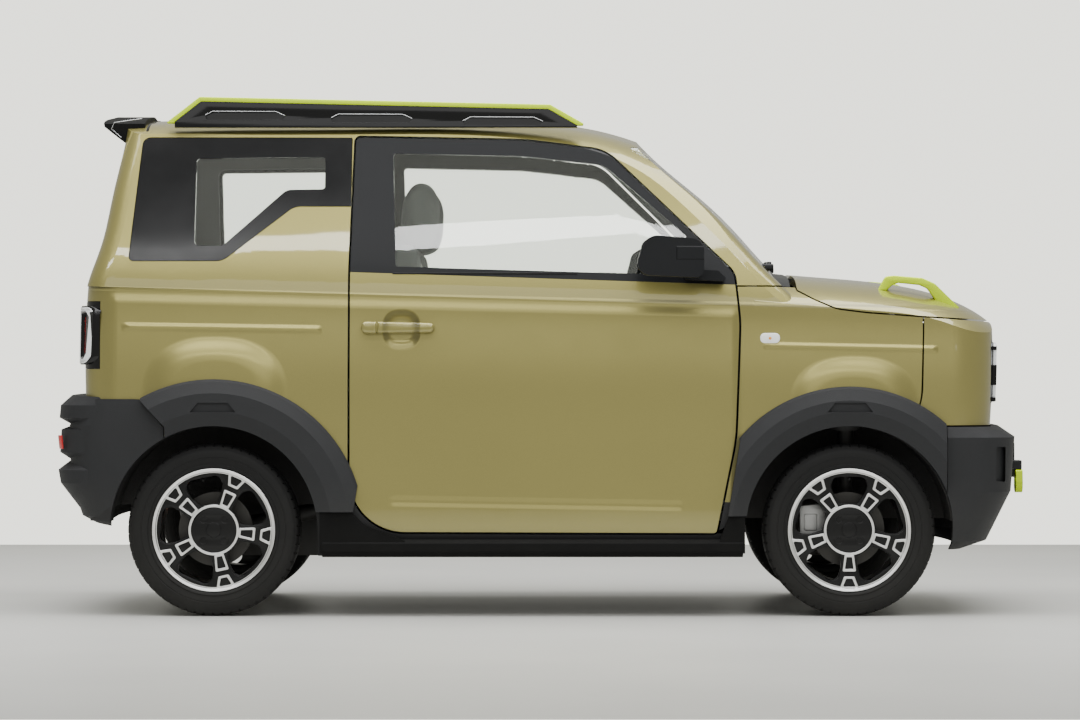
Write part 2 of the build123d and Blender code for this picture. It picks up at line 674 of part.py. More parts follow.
def make_front_subframe():
    pieces = [block(880, 1080, -300, 300, 176, 216), block(930, 980, -380, 380, 250, 290)]
    for s in SIDES:
        ball = (kingpin_low[0], s * kingpin_low[1], kingpin_low[2])
        pieces.append(rod((905, s * 280, 196), ball, 14))
        pieces.append(rod((1060, s * 280, 196), ball, 14))
        pieces.append(Pos(*ball) * Sphere(15))
        pieces.append(block(1010, 1070, s * 330 - 40, s * 330 + 40, 196, 429.7))
        pieces.append(block(1010, 1070, min(s * 250, s * 330), max(s * 250, s * 330), 180, 240))
        pieces.append(block(930, 980, s * 330 - 30, s * 330 + 30, 210, 260))
        pieces.append(block(930, 980, s * 270 - 30, s * 270 + 30, 200, 260))
    return joined(pieces)


def make_knuckle(side):
    hub_inner = tyre_mid - 48.5
    x = front_axle_x
    ball_y = side * kingpin_low[1]
    pieces = [block(x - 50, x + 50, *sorted((side * (hub_inner - 40), side * hub_inner)), 206, 370),
              rod((x, ball_y, 210), (x, ball_y, kingpin_low[2] + 15 + seat_gap), 8),
              cross_rod(x, tyre_radius, side * (hub_inner - 10), side * (tyre_mid + 44), spindle_radius),
              rod((x, side * 524, 320), (x, side * 552, 700), 25),
              rod((x, side * 543, 590), (x, side * 552, 706), 56),
              rod((x, side * kingpin_top[1], 690), (x, side * kingpin_top[1], kingpin_top[2] - strut_gap), 12),
              block(x - 40, x + 40, *sorted((side * 508, side * (hub_inner - 20))), 300, 372)]
    caliper = block(x - 150, x - 74, *sorted((side * (hub_inner - 30), side * (hub_inner + 46))), 250, 340)
    slot = drum(x, side, hub_inner + 4, hub_inner + 34, disc_radius + 8)
    arm = block(x - 120, x - 40, *sorted((side * (hub_inner - 30), side * (hub_inner - 2))), 262, 330)
    pieces.append((caliper - slot) + arm)
    return joined(pieces)


def make_tyre(x, side):
    outer = tyre_mid + tyre_width / 2
    inner = tyre_mid - tyre_width / 2
    bead = rim_flange_radius + seat_gap
    section = [(rim_seat_radius + seat_gap, inner + 14), (bead, inner + 13.4), (bead + 6, inner + 3),
               (225, inner), (258, inner + 6), (tyre_radius, inner + 24), (tyre_radius, outer - 24),
               (258, outer - 6), (225, outer), (bead + 6, outer - 3), (bead, outer - 13.4),
               (rim_seat_radius + seat_gap, outer - 14)]
    wire = outline([(r, v, 0) for r, v in section], lambda u, v: Vector(x + u, side * v, tyre_radius))
    return Solid.revolve(Face(wire), 360, Axis((x, 0, tyre_radius), (0, 1, 0)))


def make_rim(x, side, turn):
    outer = tyre_mid + tyre_width / 2
    inner = tyre_mid - tyre_width / 2
    barrel_in = rim_seat_radius - rim_wall
    section = [(barrel_in, inner + 4), (rim_flange_radius, inner + 4), (rim_flange_radius, inner + 13),
               (rim_seat_radius, inner + 13.7), (rim_seat_radius, outer - 13.7), (rim_flange_radius, outer - 13),
               (rim_flange_radius, outer - 4), (barrel_in, outer - 4)]
    wire = outline([(r, v, 0) for r, v in section], lambda u, v: Vector(x + u, side * v, tyre_radius))
    axis = Axis((x, 0, tyre_radius), (0, 1, 0))
    barrel = Solid.revolve(Face(wire), 360, axis)
    plate_out = outer - 16
    plate_in = outer - 44
    plate = drum(x, side, plate_in, plate_out, rim_seat_radius - 2)
    for i in range(5):
        angle = math.radians(turn + 36 + 72 * i)
        centre = (x + 118 * math.cos(angle), tyre_radius + 118 * math.sin(angle))
        plate = plate - cross_rod(centre[0], centre[1], side * (plate_in - 5), side * (plate_out + 5), 42)
    hub = drum(x, side, tyre_mid - 48, plate_out, hub_radius)
    disc = drum(x, side, tyre_mid - 42, tyre_mid - 42 + disc_thickness, disc_radius)
    rim = joined([barrel, plate, hub, disc])
    return rim - drum(x, side, 500, tyre_mid + 44 + 1, spindle_radius + running_gap)


WHEELS = {"front_right": (front_axle_x, RIGHT, 54), "front_left": (front_axle_x, LEFT, 54),
          "rear_right": (rear_axle_x, RIGHT, 66), "rear_left": (rear_axle_x, LEFT, 66)}


def make_parts():
    parts = {
        "body_shell": make_body_shell(), "floor_pan": make_floor_pan(),
        "front_wings": make_front_wings(), "nose_panel": make_nose_panel(),
        "lamp_panel": make_lamp_panel(), "head_lamps": make_head_lamps(),
        "front_bumper": make_front_bumper(), "tow_hooks": make_tow_hooks(),
        "rear_bumper": make_rear_bumper(), "wheel_flares": make_wheel_flares(),
        "sill_covers": make_sill_covers(), "cowl": make_cowl(), "fixed_glass": make_fixed_glass(),
        "quarter_panels": make_quarter_panels(), "tail_lamps": make_tail_lamps(),
        "roof_rails": make_roof_rails(), "seats": make_seats(), "dashboard": make_dashboard(),
        "battery_pack": make_battery_pack(), "motor_block": make_motor_block(),
        "rear_axle": make_rear_axle(), "front_subframe": make_front_subframe(),
        "hood": make_hood(), "hood_handles": make_hood_handles(), "charge_flap": make_charge_flap(),
        "tailgate": make_tailgate(), "tailgate_glass": make_tailgate_glass(), "spoiler": make_spoiler(),
        "steering_wheel": make_steering_wheel()}
    sided = {"door": make_door(RIGHT), "door_frame": make_door_frame(RIGHT),
             "door_glass": make_door_glass(RIGHT), "knuckle": make_knuckle(RIGHT)}
    for name, shape in sided.items():
        parts[f"{name}_right"] = shape
        parts[f"{name}_left"] = mirrored(shape)
    for word, (x, side, turn) in WHEELS.items():
        parts[f"tyre_{word}"] = make_tyre(x, side)
        parts[f"rim_{word}"] = make_rim(x, side, turn)
    return parts


os.makedirs("parts", exist_ok=True)
for name, shape in make_parts().items():
    export_step(solids_of(shape), f"parts/{name}.step")
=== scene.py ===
import json
import math

import bmesh
import bpy
from mathutils import Matrix, Vector
from mathutils.bvhtree import BVHTree

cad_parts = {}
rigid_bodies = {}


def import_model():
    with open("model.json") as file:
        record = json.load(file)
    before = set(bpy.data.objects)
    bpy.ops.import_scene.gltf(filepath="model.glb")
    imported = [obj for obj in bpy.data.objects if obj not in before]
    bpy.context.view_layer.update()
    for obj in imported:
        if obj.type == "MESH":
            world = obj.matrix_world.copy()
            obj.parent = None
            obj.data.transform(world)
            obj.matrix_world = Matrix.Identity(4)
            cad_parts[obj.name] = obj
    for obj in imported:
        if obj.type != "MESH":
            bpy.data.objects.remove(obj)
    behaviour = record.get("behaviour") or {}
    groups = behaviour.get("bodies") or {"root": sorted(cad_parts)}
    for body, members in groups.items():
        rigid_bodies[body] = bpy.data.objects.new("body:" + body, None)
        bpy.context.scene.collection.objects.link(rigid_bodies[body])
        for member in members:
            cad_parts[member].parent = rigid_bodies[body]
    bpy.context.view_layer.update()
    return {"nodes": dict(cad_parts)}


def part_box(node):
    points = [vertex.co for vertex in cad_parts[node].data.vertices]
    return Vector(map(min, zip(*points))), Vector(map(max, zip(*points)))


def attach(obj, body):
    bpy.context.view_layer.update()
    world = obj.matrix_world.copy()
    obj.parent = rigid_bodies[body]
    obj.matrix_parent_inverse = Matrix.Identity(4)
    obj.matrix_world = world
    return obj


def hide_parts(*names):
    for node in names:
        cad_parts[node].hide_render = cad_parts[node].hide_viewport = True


# Looks of a small electric car. Metres; +X forward, +Y to the car's left, +Z up.

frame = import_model()
nodes = frame["nodes"]

RIGHT = -1
LEFT = 1
SIDES = {"right": RIGHT, "left": LEFT}
CORNERS = ("front_right", "front_left", "rear_right", "rear_left")

front_low, front_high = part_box("tyre_front_right")
rear_low, rear_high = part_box("tyre_rear_right")
tyre_radius = (front_high.z - front_low.z) / 2
front_axle = (front_low.x + front_high.x) / 2
rear_axle = (rear_low.x + rear_high.x) / 2
axle_height = tyre_radius
arch_radius = 0.330


# ---- mesh helpers ----

def rounded(corners, steps=6):
    """Corner points (u, v, radius) as a closed line whose corners are arcs."""
    line = []
    count = len(corners)
    for i, (u, v, radius) in enumerate(corners):
        here = Vector((u, v))
        back = Vector(corners[i - 1][:2]) - here
        ahead = Vector(corners[(i + 1) % count][:2]) - here
        reach = 0.48 * min(back.length, ahead.length)
        back.normalize()
        ahead.normalize()
        turn = math.pi - back.angle(ahead)
        if radius <= 0 or turn < 0.02:
            line.append(here)
            continue
        run = min(radius * math.tan(turn / 2), reach)
        radius = run / math.tan(turn / 2)
        centre = here + (back + ahead).normalized() * (radius / math.cos(turn / 2))
        start = here + back * run - centre
        sign = 1.0 if ahead.cross(back) > 0 else -1.0
        for k in range(steps + 1):
            angle = sign * turn * k / steps
            line.append(centre + Vector((start.x * math.cos(angle) - start.y * math.sin(angle),
                                         start.x * math.sin(angle) + start.y * math.cos(angle))))
    return line


def circle(radius, centre=(0, 0), steps=48):
    return [Vector((centre[0] + radius * math.cos(math.tau * k / steps),
                    centre[1] + radius * math.sin(math.tau * k / steps))) for k in range(steps)]


def shade(mesh, angle=32):
    """Smooth shading with edges sharper than the angle kept crisp."""
    mesh.polygons.foreach_set("use_smooth", [True] * len(mesh.polygons))
    mesh.set_sharp_from_angle(angle=math.radians(angle))
    mesh.update()
    return mesh


def placed(mesh, place):
    mesh.transform(place)
    if place.determinant() < 0:
        mesh.flip_normals()
    return mesh


def outward(mesh, weld=False):
    """Turns every face outward, after joining doubled points where asked."""
    made = bmesh.new()
    made.from_mesh(mesh)
    if weld:
        bmesh.ops.remove_doubles(made, verts=made.verts, dist=1e-5)
    bmesh.ops.recalc_face_normals(made, faces=made.faces)
    made.to_mesh(mesh)
    made.free()
    return mesh


def mesh_of(name, points, faces, angle=32):
    mesh = bpy.data.meshes.new(name)
    mesh.from_pydata([tuple(p) for p in points], [], faces)
    return shade(outward(mesh), angle)


def evaluated(holder):
    """A new mesh of an object as its modifiers leave it."""
    bpy.context.view_layer.update()
    return bpy.data.meshes.new_from_object(holder.evaluated_get(bpy.context.evaluated_depsgraph_get()))


def curve_mesh(curve):
    """The mesh of a curve, and the curve removed."""
    holder = bpy.data.objects.new(curve.name, curve)
    bpy.context.scene.collection.objects.link(holder)
    mesh = evaluated(holder)
    bpy.data.objects.remove(holder)
    bpy.data.curves.remove(curve)
    return mesh


def plate(name, loops, low, high, bevel=0.0015):
    """Flat shape with holes, drawn in u and v and as thick as low to high, its edges rounded.

    A loop of (u, v, radius) corners gets its corners rounded first.
    """
    curve = bpy.data.curves.new(name, "CURVE")
    curve.dimensions = "2D"
    curve.fill_mode = "BOTH"
    curve.extrude = (high - low) / 2 - bevel
    curve.bevel_depth = bevel
    curve.bevel_resolution = 2
    curve.offset = -bevel
    for loop in loops:
        if len(loop[0]) == 3:
            loop = rounded(loop)
        spline = curve.splines.new("POLY")
        spline.points.add(len(loop) - 1)
        for point, co in zip(spline.points, loop):
            point.co = (co[0], co[1], 0, 1)
        spline.use_cyclic_u = True
    mesh = curve_mesh(curve)
    mesh.transform(Matrix.Translation((0, 0, (low + high) / 2)))
    return shade(outward(mesh, True))


def tube(name, path, radius, smooth=True, sides=3):
    """Round bar along points; a smooth bar follows them as a soft line."""
    curve = bpy.data.curves.new(name, "CURVE")
    curve.dimensions = "3D"
    curve.bevel_depth = radius
    curve.bevel_resolution = sides
    curve.use_fill_caps = True
    spline = curve.splines.new("NURBS" if smooth else "POLY")
    spline.points.add(len(path) - 1)
    for point, co in zip(spline.points, path):
        point.co = (*co, 1)
    if smooth:
        spline.order_u = 3
        spline.use_endpoint_u = True
    return shade(curve_mesh(curve), 60)


def lathe(name, profile, steps=96, closed=True, angle=32):
    """Turned shape about the w axis from (radius, w) points."""
    points = []
    for k in range(steps):
        turn = math.tau * k / steps
        points += [(r * math.cos(turn), r * math.sin(turn), w) for r, w in profile]
    count = len(profile)
    faces = []
    for k in range(steps):
        here = k * count
        after = (k + 1) % steps * count
        for i in range(count if closed else count - 1):
            j = (i + 1) % count
            faces.append((here + i, here + j, after + j, after + i))
    return mesh_of(name, points, faces, angle)


def soft_block(name, size, bevel):
    """Block with rounded edges, centred on the origin."""
    made = bmesh.new()
    bmesh.ops.create_cube(made, size=1)
    bmesh.ops.scale(made, vec=size, verts=made.verts)
    bmesh.ops.bevel(made, geom=made.edges[:] + made.verts[:], offset=bevel, segments=3,
                    profile=0.6, affect="EDGES")
    mesh = bpy.data.meshes.new(name)
    made.to_mesh(mesh)
    made.free()
    return shade(mesh, 40)


def merged(name, meshes):
    """Several meshes in one."""
    made = bmesh.new()
    for mesh in meshes:
        made.from_mesh(mesh)
        bpy.data.meshes.remove(mesh)
    total = bpy.data.meshes.new(name)
    made.to_mesh(total)
    made.free()
    return total


def copies(mesh, places):
    """The mesh at several places, as one mesh."""
    name = mesh.name
    parts = [placed(mesh.copy(), place) for place in places]
    bpy.data.meshes.remove(mesh)
    return merged(name, parts)


def moved(mesh, x, y, z):
    mesh.transform(Matrix.Translation((x, y, z)))
    return mesh


def box_loop(u0, v0, u1, v1, radius=0):
    """Corners of a rectangle from its low corner to its high one."""
    return [(u0, v0, radius), (u1, v0, radius), (u1, v1, radius), (u0, v1, radius)]


def once(node, side):
    """The node that a pair of pieces stands for, named by its right one only."""
    return [node] if side == RIGHT else []


def piece(mesh, finish, body, slot, replaced=()):
    """A shown piece that rides on a body, with its finish and the nodes that it stands for."""
    made = bpy.data.objects.new(mesh.name, mesh)
    bpy.context.scene.collection.objects.link(made)
    mesh.materials.clear()
    mesh.materials.append(FINISH[finish])
    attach(made, body)
    for node in replaced:
        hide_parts(node)
    return made


def side_view(side):
    """Places a shape drawn in side view: u forward, v up, w outward from the centre plane."""
    return Matrix(((1, 0, 0, 0), (0, 0, side, 0), (0, 1, 0, 0), (0, 0, 0, 1)))


def side_piece(side, mesh, *looks):
    """A piece drawn in side view, for one side of the car."""
    return piece(placed(mesh, side_view(side)), *looks)


def end_view(x, facing):
    """Places a shape drawn in end view (u along Y, v up, w out of the car's end) at x."""
    return Matrix(((0, 0, facing, x), (1, 0, 0, 0), (0, 1, 0, 0), (0, 0, 0, 1)))


# ---- finishes ----

def group(name, inputs, outputs):
    """Empty shader group with float or colour sockets; returns it with its input and output nodes."""
    tree = bpy.data.node_groups.new(name, "ShaderNodeTree")
    for word, kind, value in inputs:
        socket = tree.interface.new_socket(word, in_out="INPUT", socket_type="NodeSocket" + kind)
        socket.default_value = value
    for word, kind in outputs:
        tree.interface.new_socket(word, in_out="OUTPUT", socket_type="NodeSocket" + kind)
    return tree, tree.nodes.new("NodeGroupInput"), tree.nodes.new("NodeGroupOutput")


def add_node(tree, kind, settings=None, **values):
    """A node with its settings and the values of named input sockets."""
    node = tree.nodes.new("ShaderNode" + kind)
    for word, value in (settings or {}).items():
        setattr(node, word, value)
    for word, value in values.items():
        node.inputs[word.replace("_", " ")].default_value = value
    return node


def math_node(tree, operation, *operands, clamp=False):
    """A math node; each operand is a socket or a number."""
    node = tree.nodes.new("ShaderNodeMath")
    node.operation = operation
    node.use_clamp = clamp
    for socket, value in zip(node.inputs, operands):
        if isinstance(value, (int, float)):
            socket.default_value = value
        else:
            tree.links.new(value, socket)
    return node.outputs[0]


def blend_colour(tree, factor, first, second):
    node = tree.nodes.new("ShaderNodeMix")
    node.data_type = "RGBA"
    tree.links.new(factor, node.inputs[0])
    for socket, value in ((node.inputs[6], first), (node.inputs[7], second)):
        if isinstance(value, tuple):
            socket.default_value = (*value, 1)
        else:
            tree.links.new(value, socket)
    return node.outputs[2]


def object_place(tree, *users):
    """Object coordinates, linked to the first input of each node that uses them."""
    place = add_node(tree, "TexCoord")
    for node in users:
        tree.links.new(place.outputs["Object"], node.inputs[0])
    return place


def axes(tree):
    """Object coordinates one by one: along, across and up."""
    split = add_node(tree, "SeparateXYZ")
    object_place(tree, split)
    return split.outputs


def make_grain_group():
    """Moulded grain: a height and a soft mottling from cells and noise."""
    tree, source, result = group("moulded_grain", [("Scale", "Float", 500.0), ("Mottle Scale", "Float", 6.0)],
                                 [("Height", "Float"), ("Mottle", "Float")])
    cells = add_node(tree, "TexVoronoi")
    noise = add_node(tree, "TexNoise", None, Detail=3.0)
    mottle = add_node(tree, "TexNoise", None, Detail=5.0, Roughness=0.65)
    object_place(tree, cells, noise, mottle)
    for node, socket in ((cells, "Scale"), (noise, "Scale"), (mottle, "Mottle Scale")):
        tree.links.new(source.outputs[socket], node.inputs["Scale"])
    height = math_node(tree, "MULTIPLY_ADD", cells.outputs["Distance"], 0.7, noise.outputs["Fac"])
    tree.links.new(height, result.inputs["Height"])
    tree.links.new(mottle.outputs["Fac"], result.inputs["Mottle"])
    return tree


def make_dust_group():
    """Film of road dust that thins out with height."""
    tree, source, result = group("low_dust", [("Top", "Float", 0.45), ("Amount", "Float", 0.3)],
                                 [("Dust", "Float")])
    split = add_node(tree, "SeparateXYZ")
    noise = add_node(tree, "TexNoise", None, Scale=9.0, Detail=8.0, Roughness=0.7)
    object_place(tree, split, noise)
    depth = math_node(tree, "SUBTRACT", source.outputs["Top"], split.outputs["Z"], clamp=True)
    share = math_node(tree, "MULTIPLY", depth, source.outputs["Amount"])
    patch = math_node(tree, "MULTIPLY", share,
                      math_node(tree, "MULTIPLY", noise.outputs["Fac"], 3.0), clamp=True)
    tree.links.new(patch, result.inputs["Dust"])
    return tree


def make_flake_group():
    """Metal flake in paint: a tone for each flake and a slow drift of shade."""
    inputs = [("Scale", "Float", 2200.0), ("Colour", "Color", (1, 1, 1, 1)), ("Depth", "Float", 0.2)]
    tree, source, result = group("metal_flake", inputs, [("Colour", "Color")])
    flakes = add_node(tree, "TexVoronoi")
    drift = add_node(tree, "TexNoise", None, Scale=1.4, Detail=2.0)
    object_place(tree, flakes, drift)
    tree.links.new(source.outputs["Scale"], flakes.inputs["Scale"])
    split = add_node(tree, "SeparateColor")
    tree.links.new(flakes.outputs["Color"], split.inputs[0])
    both = math_node(tree, "MULTIPLY_ADD", drift.outputs["Fac"], 0.5, split.outputs[0])
    offset = math_node(tree, "SUBTRACT", both, 0.75)
    tone = math_node(tree, "MULTIPLY_ADD", offset, source.outputs["Depth"], 1.0)
    scaled = add_node(tree, "VectorMath", {"operation": "SCALE"})
    tree.links.new(source.outputs["Colour"], scaled.inputs[0])
    tree.links.new(tone, scaled.inputs["Scale"])
    tree.links.new(scaled.outputs[0], result.inputs["Colour"])
    return tree


CABIN_MIDDLE = (-0.1, 0.0, 0.85)
ARCH_MARGIN = 0.006


def make_region_group():
    """Which parts of the body are bare lining inside the cabin and coated metal in the wheel arches."""
    tree, source, result = group("body_regions", [("Arch Radius", "Float", arch_radius),
                                                  ("Low Edge", "Float", 0.212)],
                                 [("Lining", "Float"), ("Arch", "Float")])
    split = add_node(tree, "SeparateXYZ")
    middle = add_node(tree, "VectorMath", {"operation": "SUBTRACT"})
    middle.inputs[1].default_value = CABIN_MIDDLE
    place = object_place(tree, split, middle)
    facing = add_node(tree, "VectorMath", {"operation": "DOT_PRODUCT"})
    tree.links.new(middle.outputs[0], facing.inputs[0])
    tree.links.new(place.outputs["Normal"], facing.inputs[1])
    inward = math_node(tree, "LESS_THAN", facing.outputs["Value"], 0.0)
    tree.links.new(inward, result.inputs["Lining"])
    found = []
    for axle in (front_axle, rear_axle):
        along = math_node(tree, "SUBTRACT", split.outputs["X"], axle)
        up = math_node(tree, "SUBTRACT", split.outputs["Z"], axle_height)
        square = math_node(tree, "MULTIPLY", along, along)
        distance = math_node(tree, "SQRT", math_node(tree, "MULTIPLY_ADD", up, up, square))
        found.append(math_node(tree, "LESS_THAN", distance,
                               math_node(tree, "ADD", source.outputs["Arch Radius"], ARCH_MARGIN)))
    low = math_node(tree, "LESS_THAN", split.outputs["Z"], source.outputs["Low Edge"])
    arch = math_node(tree, "MAXIMUM", math_node(tree, "MAXIMUM", *found), low)
    tree.links.new(arch, result.inputs["Arch"])
    return tree


def make_weave_group():
    """Knitted cloth: crossing ribs for height and a two-tone thread mask."""
    tree, source, result = group("knit_weave", [("Scale", "Float", 900.0)],
                                 [("Height", "Float"), ("Thread", "Float")])
    across = add_node(tree, "TexWave", {"bands_direction": "Y"}, Distortion=1.2, Detail=1.0)
    along = add_node(tree, "TexWave", {"bands_direction": "DIAGONAL"}, Distortion=1.2, Detail=1.0)
    fuzz = add_node(tree, "TexNoise", None, Scale=240.0, Detail=3.0)
    object_place(tree, across, along, fuzz)
    for node in (across, along):
        tree.links.new(source.outputs["Scale"], node.inputs["Scale"])
    height = math_node(tree, "MAXIMUM", across.outputs["Fac"], along.outputs["Fac"])
    tree.links.new(height, result.inputs["Height"])
    tree.links.new(math_node(tree, "MULTIPLY", height, fuzz.outputs["Fac"]), result.inputs["Thread"])
    return tree


def ramp(tree, value, start, end):
    """0 at the start value and 1 at the end value, held beyond them."""
    node = add_node(tree, "MapRange", {"interpolation_type": "SMOOTHSTEP"}, From_Min=start, From_Max=end)
    tree.links.new(value, node.inputs["Value"])
    return node.outputs[0]


def product(tree, *factors):
    total = factors[0]
    for factor in factors[1:]:
        total = math_node(tree, "MULTIPLY", total, factor)
    return total


def line_height(tree, along, up, start, end):
    """How far a point lies above the straight line between two (x, z) points."""
    slope = (end[1] - start[1]) / (end[0] - start[0])
    height = math_node(tree, "MULTIPLY_ADD", along, -slope, slope * start[0] - start[1])
    return math_node(tree, "ADD", height, up)


SHOULDER = ((-1.365, 1.035), (0.618, 0.987))
REAR_RIB = ((-1.332, 0.918), (-0.690, 0.908))
FRONT_RIB = ((0.700, 0.858), (1.262, 0.846))
PANEL_SIDE = (0.56, 0.60)
# Middle (x, z), half length, half height, squareness, share of the reach at full height, height.
SWELLS = ((-1.032, 0.700, 0.235, 0.190, 2.4, 0.25, 0.030), (0.992, 0.660, 0.210, 0.168, 2.4, 0.25, 0.024),
          (-0.441, 0.909, 0.062, 0.066, 2.6, 0.10, -0.0220))
# Middle (x, z), half length and half height of the raised block on the mirror housing.
MIRROR_BLOCK = (0.470, 1.148, 0.046, 0.0180)
DOOR_SWAGE = ((-0.487, 0.366), (0.456, 0.350))


def oval_reach(tree, along, up, x, z, half_long, half_high, power):
    """0 in the middle of an oval and 1 on its edge; a higher power makes it squarer."""
    level = math_node(tree, "DIVIDE", math_node(tree, "SUBTRACT", along, x), half_long)
    rise = math_node(tree, "DIVIDE", math_node(tree, "SUBTRACT", up, z), half_high)
    return math_node(tree, "ADD", math_node(tree, "POWER", math_node(tree, "ABSOLUTE", level), power),
                     math_node(tree, "POWER", math_node(tree, "ABSOLUTE", rise), power))


def make_pressing_group():
    """Height in metres of the shoulder, ribs, swage, arch swells and handle dish of the side panels."""
    tree, _, result = group("side_pressings", [], [("Height", "Float")])
    along, across, up = axes(tree)
    side = ramp(tree, math_node(tree, "ABSOLUTE", across), *PANEL_SIDE)
    over = line_height(tree, along, up, *SHOULDER)
    step = product(tree, ramp(tree, over, 0.0, -0.042), ramp(tree, along, -1.400, -1.340),
                   ramp(tree, along, 0.640, 0.600), side, 0.0120)
    crest = product(tree, ramp(tree, over, 0.012, 0.001), ramp(tree, over, -0.004, 0.001), side, 0.0016)
    total = math_node(tree, "ADD", step, crest)
    for line, half, height in ((REAR_RIB, 0.0160, 0.0080), (FRONT_RIB, 0.0140, 0.0065),
                               (DOOR_SWAGE, 0.0200, -0.0035)):
        off = math_node(tree, "ABSOLUTE", line_height(tree, along, up, *line))
        rear, front = line[0][0], line[1][0]
        rib = product(tree, ramp(tree, off, half, half * 0.1), ramp(tree, along, rear, rear + 0.03),
                      ramp(tree, along, front, front - 0.02), side, height)
        total = math_node(tree, "ADD", total, rib)
    for *oval, inner, height in SWELLS:
        reach = oval_reach(tree, along, up, *oval)
        total = math_node(tree, "ADD", total, product(tree, ramp(tree, reach, 1.0, inner), side, height))
    tree.links.new(total, result.inputs["Height"])
    return tree


GRAIN = make_grain_group()
DUST = make_dust_group()
FLAKE = make_flake_group()
REGIONS = make_region_group()
WEAVE = make_weave_group()
PRESSINGS = make_pressing_group()


PAINT_COLOUR = (0.282, 0.250, 0.074)
PAINT_ROUGHNESS = 0.34
PAINT_METALLIC = 0.62
DUST_COLOUR = (0.23, 0.22, 0.19)


def material(name, colour, roughness, metallic=0.0, **sockets):
    """Principled material; further sockets are given by name with underscores for spaces."""
    made = bpy.data.materials.new(name)
    made.use_nodes = True
    shader = made.node_tree.nodes["Principled BSDF"]
    shader.inputs["Base Color"].default_value = (*colour, 1)
    shader.inputs["Roughness"].default_value = roughness
    shader.inputs["Metallic"].default_value = metallic
    for word, value in sockets.items():
        shader.inputs[word.replace("_", " ")].default_value = value
    made.diffuse_color = (*colour, 1)
    return made, made.node_tree, shader


def use_group(tree, source, **values):
    node = tree.nodes.new("ShaderNodeGroup")
    node.node_tree = source
    for word, value in values.items():
        node.inputs[word.replace("_", " ")].default_value = value
    return node


def bump(tree, shader, height, strength, distance=0.001):
    node = add_node(tree, "Bump", None, Strength=strength, Distance=distance)
    tree.links.new(height, node.inputs["Height"])
    for link in shader.inputs["Normal"].links:
        tree.links.new(link.from_socket, node.inputs["Normal"])
    tree.links.new(node.outputs[0], shader.inputs["Normal"])


def grained(made, tree, shader, grain, tone, roughness, drift, strength):
    """Links a tone, a gloss that drifts by the mottling, and the grain's height."""
    tree.links.new(tone, shader.inputs["Base Color"])
    gloss = math_node(tree, "MULTIPLY_ADD", grain.outputs["Mottle"], drift, roughness - drift / 2)
    tree.links.new(gloss, shader.inputs["Roughness"])
    bump(tree, shader, grain.outputs["Height"], strength)
    return made


def moulded(name, colour, light, roughness, scale, strength, dust=0.0, **sockets):
    """Grained plastic, rubber or coated metal whose colour and gloss drift a little, dusty low down."""
    made, tree, shader = material(name, colour, roughness, **sockets)
    grain = use_group(tree, GRAIN, Scale=scale, Mottle_Scale=5.0)
    tone = blend_colour(tree, grain.outputs["Mottle"], colour, light)
    if dust:
        film = use_group(tree, DUST, Amount=dust)
        tone = blend_colour(tree, film.outputs["Dust"], tone, DUST_COLOUR)
    return grained(made, tree, shader, grain, tone, roughness, 0.14, strength)


def frame_black():
    """Black of the door frame, with the raised block that the mirror housing carries."""
    made = moulded("door_frame_black", (0.0078, 0.0085, 0.0097), (0.0105, 0.0112, 0.0128), 0.36, 900.0, 0.06,
                   Specular_IOR_Level=0.18)
    tree = made.node_tree
    along, across, up = axes(tree)
    x, z, half_long, half_high = MIRROR_BLOCK
    off = math_node(tree, "ABSOLUTE", math_node(tree, "SUBTRACT", up, z))
    block = product(tree, ramp(tree, off, half_high + 0.004, half_high),
                    ramp(tree, along, x - half_long, x - half_long + 0.005),
                    ramp(tree, math_node(tree, "ABSOLUTE", across), 0.780, 0.790), 0.0040)
    bump(tree, tree.nodes["Principled BSDF"], block, 1.0, 1.0)
    return made


def dimmed(colour, share):
    return tuple(share * c for c in colour)


def paint(name, with_lining, low_edge=0.212):
    """Metallic olive gold paint under clear coat, with bare lining and arches where the panel shows them."""
    made, tree, shader = material(name, PAINT_COLOUR, PAINT_ROUGHNESS, PAINT_METALLIC, Coat_Weight=1.0,
                                  Coat_Roughness=0.035, Coat_IOR=1.5)
    flake = use_group(tree, FLAKE, Colour=(*PAINT_COLOUR, 1), Depth=0.22)
    tone = flake.outputs["Colour"]
    if with_lining:
        regions = use_group(tree, REGIONS, Low_Edge=low_edge)
        bare = math_node(tree, "MAXIMUM", regions.outputs["Lining"], regions.outputs["Arch"])
        tone = blend_colour(tree, regions.outputs["Lining"], tone, (0.10, 0.102, 0.105))
        tone = blend_colour(tree, regions.outputs["Arch"], tone, (0.012, 0.012, 0.013))
        for socket, outside, inside in (("Metallic", PAINT_METALLIC, 0.0), ("Coat Weight", 1.0, 0.0),
                                        ("Roughness", PAINT_ROUGHNESS, 0.75)):
            tree.links.new(math_node(tree, "MULTIPLY_ADD", bare, inside - outside, outside),
                           shader.inputs[socket])
    tree.links.new(tone, shader.inputs["Base Color"])
    pressed = use_group(tree, PRESSINGS)
    bump(tree, shader, pressed.outputs["Height"], 1.0, 1.0)
    return made


def glass(name, tint):
    """Clear glazing with a faint tint that varies a little over the pane."""
    made, tree, shader = material(name, tint, 0.0, 0.0, Transmission_Weight=1.0, IOR=1.45)
    noise = add_node(tree, "TexNoise", None, Scale=2.0, Detail=1.0)
    object_place(tree, noise)
    tone = blend_colour(tree, noise.outputs["Fac"], tint, dimmed(tint, 0.96))
    tree.links.new(tone, shader.inputs["Base Color"])
    return made


